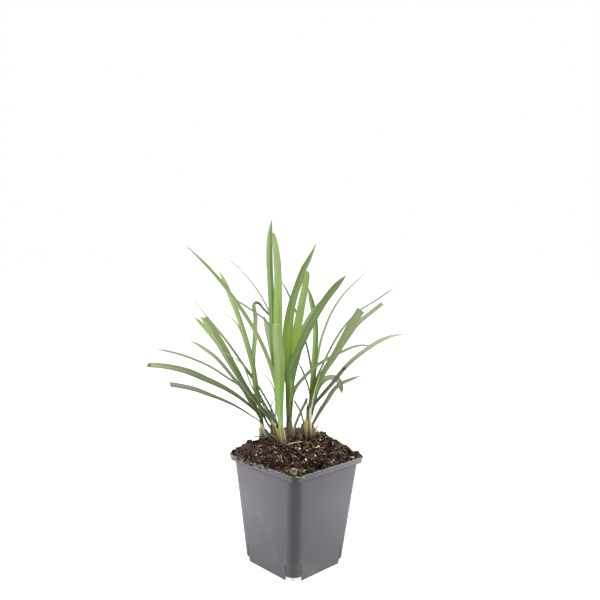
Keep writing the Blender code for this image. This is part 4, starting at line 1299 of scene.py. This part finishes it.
def makeStem(shoot, number):
    # an upright tapering stalk of rolled sheaths: a round whose radius steps out at each sheath's edge
    f, n = stemForm, stemForm["round"]
    angle = np.arange(n) * 2 * math.pi / n
    level = -f["foot"] + (shoot["height"] + f["foot"]) * np.linspace(0, 1, f["up"])[:, None]
    share, wide, middle = stemPlan(shoot, level)
    wide = wide + f["flare"] * np.exp(-np.maximum(level, 0) / f["flareFall"])
    lap = ((angle / (2 * math.pi) * 2 + f["lapStart"] * number + f["lapTwist"] * share) % 1.0) - 0.5
    (coarse, fine), (coarseShare, fineShare) = f["ridges"], f["ridgeShares"]
    ridge = np.sin(coarse * angle + number) * f["ridge"] * coarseShare
    ridge = ridge + np.sin(fine * angle) * f["ridge"] * fineShare
    radius = wide + f["lap"] * lap * (1 - f["lapFade"] * share) + ridge
    radius = np.where(share > 0.999, radius * f["closing"], radius)
    points = aroundStem(middle, radius, angle, groundAt(shoot) + level)
    low, high = linear(shoot["skin"]), linear(shoot["tipSkin"])
    tone = np.broadcast_to(low + (high - low) * ease(share, f["tipFrom"], 1.0)[..., None], points.shape)
    streak = np.broadcast_to(np.sin(f["streaks"] * angle + number), radius.shape)
    caps = np.stack([np.arange(n), np.arange(n) + n * (f["up"] - 1)])
    return shell(toPot(points).reshape(-1, 3), [gridFaces(f["up"], n, closed=True), caps],
                 tone=tone.reshape(-1, 3), streak=streak.ravel())


# sheaths round each shoot: how many, their heights, how far the tips lean out, and their colours
sheathForm = {
    "front": {"count": 5, "height": (7, 17), "lean": (0.2, 1.2), "skins": ("c49a80", "b58a72", "cdb795")},
    "centre": {"count": 4, "height": (8, 30), "lean": (0.1, 0.6), "skins": ("5c4a34", "6d5a3c", "4a3a2a")},
    "east": {"count": 11, "height": (6, 16), "lean": (0.5, 4.2),
             "skins": ("8a6c48", "7a5c42", "a89468", "9a9050")},
    "west": {"count": 5, "height": (5, 14), "lean": (0.3, 1.6), "skins": ("c9c29c", "b0a878", "9a8a66")},
    "midwest": {"count": 6, "height": (5, 14), "lean": (0.3, 2.0), "skins": ("5f4636", "7a5c44", "4a362a")},
}

# what all sheaths share: their grid, how deep they start, how far they wrap, and their tips' waves and curl
wrapForm = {
    "steps": 16, "across": 9, "foot": 3.0, "wrap": (0.6, 1.1), "tipPower": (1.8, 3.2), "tipWrap": 0.05,
    "off": 0.35, "wave": 0.12, "waves": 5, "twist": 0.25, "curl": 0.25, "thick": 0.2, "tipDark": 0.25,
    "streaks": (11, 7), "jitter": 0.35, "seed": 70, "sharp": 50.0,
}

# the dry skin's fibres and blotches, where they start and are full, and its relief
huskForm = {
    "stretch": (1, 1, 0.12), "grain": 1500, "blotches": 260, "blotch": "3a2a20",
    "blotchFrom": (0.56, 0.7), "blotchShare": 0.45, "rough": 0.55, "bumpDeep": 0.0002, "bumpShare": 0.5,
}


def makeSheath(shoot, rng, angle0, height, lean, skin):
    # a thin strip wrapped round part of the stem, narrowing to a torn tip that leans away
    f = wrapForm
    t, across = np.linspace(0, 1, f["steps"])[:, None], np.linspace(-1, 1, f["across"])[None, :]
    level = -f["foot"] + (height + f["foot"]) * t
    _, wide, middle = stemPlan(shoot, level)
    spread = rng.uniform(*f["wrap"]) * (1 - t ** rng.uniform(*f["tipPower"])) + f["tipWrap"]
    out = wide + f["off"] + lean * t ** 2 + f["wave"] * np.sin(f["waves"] * t + angle0)
    angle = angle0 + across * spread + rng.uniform(-f["twist"], f["twist"]) * t
    curl, base = f["curl"] * across ** 2 * t, groundAt(shoot)
    outer, inner = (toPot(aroundStem(middle, out + curl + extra, angle, base + level))
                    for extra in (f["thick"], 0))
    tone = linear(skin) * (1 - f["tipDark"] * t[..., None]) + 0 * angle[..., None]
    ribs, shift = f["streaks"]
    return closedStrip(outer, inner, tone=tone, streak=np.sin(ribs * across + shift * angle0) + 0 * angle)


def sheathFinish():
    # dry skin with upright fibres and dark blotches over its own colour
    f = huskForm
    finish = Finish("dry_sheath", Specular_IOR_Level=0.3)
    grain = finish.noise(finish.place(f["stretch"]), f["grain"], 3)
    blotch = finish.noise(finish.place(), f["blotches"], 3)
    light = 0.55 + 0.5 * grain + 0.3 * blotch + 0.07 * finish.reading("streak")
    colour = finish.mix(finish.scaled(finish.reading("tone", 0), light), shade(f["blotch"]),
                        finish.step(blotch, *f["blotchFrom"]) * f["blotchShare"])
    finish.set(Base_Color=colour, Roughness=f["rough"] + 0.25 * grain)
    finish.bump(grain + finish.reading("streak") * 0.2, f["bumpDeep"], f["bumpShare"])
    return finish


def makeSheaths():
    # each shoot's stem with its sheaths spaced round it
    finish = sheathFinish()
    for number, (name, shoot) in enumerate(shoots.items()):
        form, jitter = sheathForm[name], wrapForm["jitter"]
        rng = np.random.default_rng(wrapForm["seed"] + number)
        pieces = [makeStem(shoot, number)]
        for k in range(form["count"]):
            angle = 2 * math.pi * (k + rng.uniform(-jitter, jitter)) / form["count"] - math.pi / 2
            height, lean = rng.uniform(*form["height"]), rng.uniform(*form["lean"])
            pieces.append(makeSheath(shoot, rng, angle, height, lean, form["skins"][k % len(form["skins"])]))
        makePiece("sheaths_" + name, pieces, finish, wrapForm["sharp"])


makeSheaths()
print("stems and sheaths made")


# colours of the old sheaths and leaf feet
stripSkins = {
    "pink": "8d725a", "cream": "bdb692", "paleGreen": "a3aa76", "green": "87935a", "tan": "8c7250",
    "straw": "b7a276", "yellow": "bab26c", "olive": "696b48", "deepOlive": "46402c", "leafGreen": "56693c",
    "brown": "6f5742", "rust": "785b42", "ash": "a5a382", "darkBrown": "4a392c", "lightGreen": "d6f0a2",
    "milk": "e2e4c6", "blush": "b8967a",
}

# the places each passes in the plant's frame, its widths at foot and tip, and its colours there
strips = (
    (((-11.2, -8, 109), (-13.2, -8.6, 120), (-14.6, -9.4, 130)), (4.2, 3.0), "blush", "green"),
    (((-9.4, -8.2, 109), (-10.8, -9, 119), (-12, -9.5, 127)), (2.0, 1.2), "blush", "cream"),
    (((-13.8, -7, 110), (-15.4, -7.8, 120), (-16.6, -8.4, 128)), (2.4, 1.4), "tan", "green"),
    (((-12.6, -6.6, 109), (-13.3, -7, 116), (-13.8, -7.4, 123)), (1.2, 0.5), "tan", "cream"),
    (((-15.4, -4, 110), (-16.8, -4.4, 118), (-17.6, -4.8, 126)), (1.7, 0.7), "rust", "yellow"),
    (((-17.6, 0, 109), (-21, 1, 118), (-24.6, 3, 126)), (5.0, 2.8), "darkBrown", "deepOlive"),
    (((-22.7, 3, 107), (-26.2, 5.5, 116), (-30, 7.5, 121.6)), (3.8, 2.4), "darkBrown", "deepOlive"),
    (((-16.7, -2, 119.3), (-19.6, -1, 125.5), (-23.6, 0, 132)), (1.4, 2.0), "olive", "ash"),
    (((-26.6, 13, 109), (-29, 15, 116), (-31, 16, 119.6)), (3.2, 1.8), "deepOlive", "ash"),
    (((-16.1, -1, 109), (-19.5, -0.5, 119), (-22.9, 0, 126)), (3.4, 2.0), "brown", "olive"),
    (((-26.6, 8, 108), (-29.7, 9, 117), (-33.6, 10, 126)), (2.7, 1.8), "ash", "cream"),
    (((-19.9, 2, 108), (-24.6, 1, 115), (-31.1, 0, 120)), (1.4, 0.6), "rust", "straw"),
    (((-14.2, -3, 108), (-18, -3.5, 115), (-24, -4, 119)), (1.4, 0.6), "tan", "straw"),
    (((-27.5, 6, 107), (-32.6, 5, 113), (-37.7, 4, 115)), (1.3, 0.5), "brown", "rust"),
    (((-24.4, 1, 108), (-25.5, 0.5, 115), (-24.2, 0, 122)), (1.6, 0.5), "darkBrown", "brown"),
    (((-20.6, -2, 108), (-22.5, -3, 114), (-27.1, -4, 118)), (1.4, 0.5), "brown", "tan"),
    (((-19, 0, 124), (-25, 2, 135.8), (-32.8, 6, 148.7), (-39.8, 10, 161.8)), (1.8, 1.4), "olive",
     "leafGreen"),
    (((-31.5, 19, 108), (-33.1, 19.5, 117), (-34.7, 20, 125)), (3.7, 2.8), "ash", "paleGreen"),
    (((-34.3, 18.5, 108), (-35.4, 18.8, 116), (-36.9, 19, 122)), (2.2, 0.9), "ash", "cream"),
    (((-4.2, 0, 111), (-5.4, 0.5, 123), (-6.1, 1, 134.6)), (4.0, 3.1), "brown", "olive"),
    (((-6.5, -1, 111), (-7.2, -0.2, 121), (-7.9, 0.5, 131)), (2.2, 1.3), "rust", "olive"),
    (((-1.9, 1, 111), (-3.5, 1.2, 120), (-4.2, 1.5, 128)), (2.0, 0.9), "tan", "olive"),
    (((-5.1, 0, 110), (-2.5, -0.5, 117), (0.1, -1, 123)), (1.3, 0.5), "rust", "tan"),
    (((-2.4, 6, 110), (-0.6, 7.7, 117), (2, 9.3, 124)), (3.1, 1.6), "olive", "brown"),
    (((-0.1, 8, 109), (2, 9.5, 117), (5, 11, 125)), (3.4, 1.8), "brown", "rust"),
    (((10.2, 13, 115.6), (9.2, 13.5, 132.7), (9.1, 14, 146.8)), (2.2, 1.4), "brown", "olive"),
    (((13.3, 9, 112), (12.3, 8.5, 129.3), (11.8, 9, 142)), (2.2, 2.8), "tan", "milk"),
    (((12.6, 11, 112), (12.4, 9.6, 128), (12.9, 8, 141.7), (14.3, 6.5, 151.5), (15.9, 3.5, 159.7),
      (17.7, 1, 167.2), (19.6, -2, 174.8)), (1.1, 0.7), "milk", "lightGreen"),
    (((3.2, 9.5, 109), (4.3, 10.6, 119), (6.3, 11.8, 128)), (3.6, 2.2), "straw", "tan"),
    (((8.7, 8, 108), (8.3, 8.5, 122.6), (8.3, 9, 131.6)), (2.8, 4.4), "tan", "yellow"),
    (((10.7, 10, 108), (10.9, 11, 119), (12.1, 12, 130)), (3.3, 1.8), "rust", "cream"),
    (((14.4, 10, 109), (13.7, 10.5, 118), (12, 11, 126)), (2.4, 1.2), "brown", "straw"),
    (((15.4, 11, 109), (17.9, 9.5, 117), (22.4, 8, 123.5)), (2.0, 0.7), "tan", "straw"),
    (((18.2, 12, 108), (21.7, 10.5, 115), (27.2, 9, 120)), (1.5, 0.5), "rust", "straw"),
    (((11.6, 12, 108), (16.1, 12, 117), (20.1, 12, 126)), (2.4, 1.4), "straw", "cream"),
    (((1.8, 8, 108), (-2.1, 6.5, 116), (-5.4, 5, 122)), (1.4, 0.5), "brown", "tan"),
    (((8.8, 8, 108), (3.5, 7, 116), (0.1, 6, 123)), (2.4, 0.9), "brown", "tan"),
    (((6, 7, 108), (4.9, 5.5, 114), (1.6, 4, 118)), (1.5, 0.5), "rust", "straw"),
    (((16.3, 9, 108), (19.8, 7, 113), (24.8, 5, 115)), (1.4, 0.5), "tan", "straw"),
    (((11.6, 6, 107), (14.7, 4, 112.6), (19.7, 2, 114)), (1.4, 0.5), "rust", "straw"),
)
# more of them behind each shoot: how many, their lengths, how far they lean, and their colours
stripRounds = {
    "front": (5, (8, 18), 1.5, ("pink", "cream")), "centre": (6, (8, 20), 1.5, ("brown", "olive")),
    "east": (14, (8, 20), 4.0, ("rust", "straw", "tan")), "west": (6, (8, 16), 2.0, ("ash", "paleGreen")),
    "midwest": (10, (7, 16), 2.5, ("darkBrown", "olive", "rust")),
}

# what all strips share: their grid, foot, bow and torn tip, their feet darkened by soil stain and painted
# shade, and how those behind are drawn
stripForm = {
    "steps": 14, "across": 7, "foot": 2.5, "tipPower": 7, "tipLeast": 0.04, "bow": 0.35, "wave": 0.1,
    "waves": 4, "thick": 0.15, "toneFrom": (0.1, 0.95), "footStainAndShade": 0.38, "footStainShadeUpTo": (1.0, 12.0),
    "streaks": (7, 2.3), "lookAside": 0.15, "lookTurn": 5.1, "seed": 120, "spread": 0.78,
    "start": (0.8, 1.4), "leanShare": (0.2, 1.0), "leanPower": 1.6, "wide": (1.6, 3.6),
    "tipWide": (0.5, 1.8), "sharp": 60.0,
}


def makeStrip(places, widths, outward, low, high, number):
    # a thin bowed strip along a path that starts in the soil and narrows to a torn tip
    f, t = stripForm, np.linspace(0, 1, stripForm["steps"])
    first = toPot(places[0])
    ground = float(smoothSoil(first[0], first[1]))
    foot = (*places[0][:2], min(places[0][2], ground) - f["foot"])
    path = toPot(smoothPath((foot, *places[1:]), t)[0])
    tangent = unit(np.gradient(path, axis=0))
    facing = toPot((*outward, 0.0)) + 0 * tangent
    upper = unit(facing - tangent * np.sum(facing * tangent, axis=1)[:, None])
    side = np.cross(tangent, upper)
    across = np.linspace(-1, 1, f["across"])[None, :]
    tip = np.sqrt(np.clip(1 - t ** f["tipPower"], f["tipLeast"], 1))
    wide = (widths[0] + (widths[1] - widths[0]) * t) * tip / 2
    bow = f["bow"] * wide[:, None] * (1 - across ** 2) + f["wave"] * np.sin(f["waves"] * t + number)[:, None]
    face = path[:, None] + side[:, None] * (wide[:, None] * across)[..., None]
    face = face + upper[:, None] * bow[..., None]
    share = ease(t, *f["toneFrom"])[:, None, None]
    tone = linear(stripSkins[low]) * (1 - share) + linear(stripSkins[high]) * share + 0 * face
    # darker near the soil: soil stain and painted shade
    light = f["footStainAndShade"] + (1 - f["footStainAndShade"]) * ease(path[:, 2] - ground, *f["footStainShadeUpTo"])
    tone = tone * light[:, None, None]
    ribs, shift = f["streaks"]
    return closedStrip(face + upper[:, None] * f["thick"], face - upper[:, None] * f["thick"], tone=tone,
                       streak=np.sin(ribs * across + shift * number) + 0 * tone[..., 0])


def makeStrips():
    # the strips in front face the front, the drawn ones stand behind each shoot
    f = stripForm
    made = [makeStrip(places, widths, (f["lookAside"] * math.sin(f["lookTurn"] * k), -1.0), low, high, k)
            for k, (places, widths, low, high) in enumerate(strips)]
    for number, (name, (count, lengths, lean, skins)) in enumerate(stripRounds.items()):
        rng, shoot = np.random.default_rng(f["seed"] + number), shoots[name]
        for k in range(count):
            angle = math.pi * (0.5 + rng.uniform(-f["spread"], f["spread"]))       # away from the front
            out = np.array([math.cos(angle), math.sin(angle)])
            start = np.array(shoot["crown"]) + out * shoot["radius"] * rng.uniform(*f["start"])
            length, base = rng.uniform(*lengths), groundAt(shoot)
            places = [(*(start + out * lean * rng.uniform(*f["leanShare"]) * rise ** f["leanPower"]),
                       base - 1 + length * rise) for rise in (0, 0.5, 1)]
            widths = (rng.uniform(*f["wide"]), rng.uniform(*f["tipWide"]))
            low, high = skins[k % len(skins)], skins[(k + 1) % len(skins)]
            made.append(makeStrip(places, widths, out, low, high, k))
    makePiece("oldSheaths", made, sheathFinish(), f["sharp"])


makeStrips()
print("old sheaths made")

# dry ends round each shoot's foot: how many, their lengths, and how far they lean
thatchForm = {"front": (26, (4, 11), 0.8), "centre": (16, (4, 12), 0.5), "east": (60, (4, 13), 1.1),
              "west": (22, (4, 10), 0.9), "midwest": (44, (4, 11), 0.9)}
thatchLook = {
    "places": 8, "seed": 90, "start": (0.5, 1.9), "out": 0.35, "aside": 0.25, "droop": 0.45, "foot": 1.5,
    "lift": 0.3, "radius": (0.14, 0.36), "taper": 0.75, "darkShoot": "midwest", "tones": (0.9, 0.55),
    "sharp": 60.0,
}


def makeThatch():
    # dry ends that rise from round each shoot's foot and lean away, bending over at the tip
    f, rods, tones, widths = thatchLook, [], [], []
    t = np.linspace(0, 1, f["places"])
    for number, (name, shoot) in enumerate(shoots.items()):
        count, lengths, lean = thatchForm[name]
        rng = np.random.default_rng(f["seed"] + number)
        angle, length = rng.uniform(0, 2 * math.pi, count)[:, None], rng.uniform(*lengths, count)[:, None]
        start = shoot["radius"] * rng.uniform(*f["start"], count)[:, None]
        out = (np.abs(rng.normal(f["out"], f["out"], count)) * lean)[:, None]
        side = rng.normal(0, f["aside"], count)[:, None]
        reach = start + length * (out * t + f["droop"] * lean * rng.random((count, 1)) * t ** 3)
        up = -f["foot"] + length * t * (1 - 0.5 * t * out)
        a = angle + side * t
        x, y = shoot["crown"][0] + reach * np.cos(a), shoot["crown"][1] + reach * np.sin(a)
        place = toPot(np.stack([x, y, 0 * x], axis=-1))
        ground = smoothSoil(place[..., 0], place[..., 1], bumps=False)
        place[..., 2] = np.maximum(ground[:, :1] + up, ground + f["lift"])
        rods.append(place)
        tones.append(rng.random(count) * f["tones"][name == f["darkShoot"]])
        widths.append(rng.uniform(*f["radius"], count)[:, None] * (1 - f["taper"] * t ** 2))
    rods = tubes(np.concatenate(rods), np.concatenate(widths), 5, tone=np.concatenate(tones))
    makePiece("thatch", [rods], fibreFinish(), f["sharp"])


makeThatch()
print("thatch made")

# the fallen leaf: where it lies, its width and skin, how far it rises over its length, and its bow
fallenForm = {
    "places": ((-8.4, -12.0), (-4.4, -9.4), (0.4, -8.0), (5.2, -7.6)), "width": 1.5, "skin": "cdbb92",
    "steps": 18, "across": 5, "sink": 0.2, "rise": 1.2, "dip": 0.6, "lift": 0.3, "bow": 0.25,
    "thick": 0.3, "roundEnds": (1.02, 0.03), "sharp": 60.0,
}

# the twigs: the places each passes, its heights over the soil there, and how light it is
twigForm = {
    "places": (((-33.0, 14.0, 1.5), (-38.0, 13.0, 3.6), (-42.5, 12.0, 4.0)),
               ((20.5, 20.0, 0.5), (23.0, 21.0, 4.5), (27.0, 21.3, 8.8)),
               ((-48.6, -5.5, -1.5), (-48.4, -4.5, 2.6), (-48.0, -3.0, 6.0)),
               ((18.0, 14.0, 0.0), (21.5, 13.5, 3.0), (22.5, 13.0, 6.4)),
               ((-46.0, -4.2, -1.5), (-46.8, -4.6, 2.0), (-47.7, -5.0, 4.6)),
               ((-50.6, -6.0, -1.5), (-50.0, -6.0, 1.4), (-49.0, -6.0, 3.4)),
               ((-33.0, 20.5, 0.2), (-36.8, 20.0, 3.0), (-40.4, 20.9, 2.0)),
               ((54.6, 10.8, -1.0), (54.5, 10.9, 1.0), (54.2, 11.0, 3.2))),
    "tones": (0.15, 0.3, 0.04, 0.2, 0.06, 0.05, 0.08, 0.08), "radius": 0.42, "steps": 9, "taper": 0.5,
    "knots": 9, "knotRise": 0.15, "sharp": 60.0,
}

# the root end that hangs in the near corner's notch
rootForm = {
    "places": ((-1.0, -40.0, 6.0), (-1.2, -43.5, 4.6), (-0.2, -45.8, 2.4), (1.4, -46.6, 0.5)),
    "radius": 0.32, "steps": 12, "taper": 0.6, "tone": 0.3, "sharp": 60.0,
}


def makeFallen():
    # a flat dry strip just over the soil, its upper face bowed and its ends rounded
    f, t = fallenForm, np.linspace(0, 1, fallenForm["steps"])
    path = toPot(smoothPath([(*place, 0.0) for place in f["places"]], t)[0])
    soil = soilTop(path[:, 0], path[:, 1])
    path[:, 2] = np.maximum(soil.max() - f["sink"] + f["rise"] * t - f["dip"] * (1 - t), soil + f["lift"])
    whole, least = f["roundEnds"]
    widths = f["width"] * np.sqrt(np.clip(whole - (2 * t - 1) ** 2, least, 1))
    _, side, upper = strapFrame(path)
    across = np.linspace(-1, 1, f["across"])[None, :]
    top = path[:, None] + side[:, None] * (widths[:, None] / 2 * across)[..., None]
    top = top + upper[:, None] * (f["bow"] * across ** 2)[..., None]
    tone = np.broadcast_to(linear(f["skin"]), top.shape)
    strip = closedStrip(top, top - upper[:, None] * f["thick"], tone=tone,
                        streak=np.sin(5 * across) + 0 * top[..., 0])
    makePiece("fallenLeaf", [strip], sheathFinish(), f["sharp"])


def makeTwigs():
    # knotted rods, each risen to the soil at its foot
    f, t = twigForm, np.linspace(0, 1, twigForm["steps"])
    rods = []
    for places in f["places"]:
        path = toPot(smoothPath(places, t)[0])
        path[:, 2] += smoothSoil(path[0, 0], path[0, 1])
        rods.append(path)
    radius = np.full((len(rods), 1), f["radius"]) * (1 - f["taper"] * t ** 2)
    radius = radius * (1 + f["knotRise"] * np.sin(f["knots"] * t))
    rods = tubes(np.array(rods), radius, 6, tone=np.array(f["tones"]))
    makePiece("twigs", [rods], fibreFinish(), f["sharp"])


def makeRoot():
    # a rod that thins to its tip
    f, t = rootForm, np.linspace(0, 1, rootForm["steps"])
    path = toPot(smoothPath(f["places"], t)[0])[None]
    radius = (f["radius"] * (1 - f["taper"] * t ** 2))[None]
    rod = tubes(path, radius, 7, tone=np.array([f["tone"]]))
    makePiece("rootEnd", [rod], fibreFinish(), f["sharp"])


# the moss in the near corner: its middle and reach, and its cupped lobes
mossForm = {
    "middle": (0.0, -47.0), "spread": (0.5, 0.6), "reach": (6.5, 10.0), "lobes": 60, "size": (0.7, 1.7),
    "seed": 51, "sides": 14, "rings": 4, "hole": 0.12, "waves": (3, 5), "waveShares": (0.22, 0.12),
    "cup": 0.45, "cupWaves": (0.7, 0.5), "lift": 0.25, "rest": 0.2, "tilt": 0.4, "thick": 0.22,
    "inset": 0.8, "light": (0.2, 1.0), "dark": "3a4018", "skin": "9c9e6e", "skinFrom": (0.5, 1.3),
    "grain": 900, "bumpDeep": 0.0003, "bumpShare": 0.6, "sharp": 50.0,
}


def mossFinish():
    # dark to grey-green by each lobe's own tone
    f = mossForm
    finish = Finish("moss", Roughness=0.7, Specular_IOR_Level=0.3)
    fine = finish.noise(finish.place(), f["grain"], 3)
    share = finish.step(finish.reading("tone") + 0.5 * fine, *f["skinFrom"])
    colour = finish.mix(shade(f["dark"]), shade(f["skin"]), share)
    finish.set(Base_Color=finish.scaled(colour, 0.4 + 0.8 * fine))
    finish.bump(fine, f["bumpDeep"], f["bumpShare"])
    return finish


def makeLobe(rng, x, y):
    # a cupped disc: rings whose radius waves round and whose height grows with its square
    f, n, rows = mossForm, mossForm["sides"], mossForm["rings"]
    a, r = np.arange(n) * 2 * math.pi / n, np.linspace(f["hole"], 1, rows)
    size = rng.uniform(*f["size"])
    edge = 1 + sum(share * np.sin(k * a + rng.uniform(0, 6)) for k, share in zip(f["waves"], f["waveShares"]))
    out = size * r[:, None] * edge
    flat, wave = f["cupWaves"]
    high = f["cup"] * size * r[:, None] ** 2 * (flat + wave * np.sin(2 * a + rng.uniform(0, 6))) + f["lift"]
    tip = rng.uniform(-f["tilt"], f["tilt"], 2)
    px, py = x + out * np.cos(a), y + out * np.sin(a)
    base = soilTop(np.array([x]), np.array([y]))[0]
    top = np.stack([px, py, base + high + f["rest"] + tip[0] * (px - x) + tip[1] * (py - y)], axis=-1)
    grid = np.concatenate([top, (top - (0, 0, f["thick"]))[::-1]])
    caps = np.stack([np.arange(n), np.arange(n) + (2 * rows - 1) * n])
    light = np.full(2 * rows * n, rng.uniform(*f["light"]))
    return shell(grid.reshape(-1, 3), [gridFaces(2 * rows, n, closed=True), caps], tone=light)


def makeMoss():
    # little lobes crowded in the near corner
    f, n = mossForm, mossForm["lobes"]
    rng = np.random.default_rng(f["seed"])
    (u, v), (aside, away), (wide, deep) = f["middle"], f["spread"], f["reach"]
    spots = toPot(np.stack([u + rng.normal(0, aside, n) * wide, v - np.abs(rng.normal(0, away, n)) * deep,
                            np.zeros(n)], axis=1))
    x, y = roundIn(spots[:, 0], spots[:, 1], potForm["rimSide"] / 2 - f["inset"], potForm["rimCorner"])
    makePiece("moss", [makeLobe(rng, x[k], y[k]) for k in range(n)], mossFinish(), f["sharp"])


makeFallen()
makeTwigs()
makeRoot()
makeMoss()
print("small bits made")
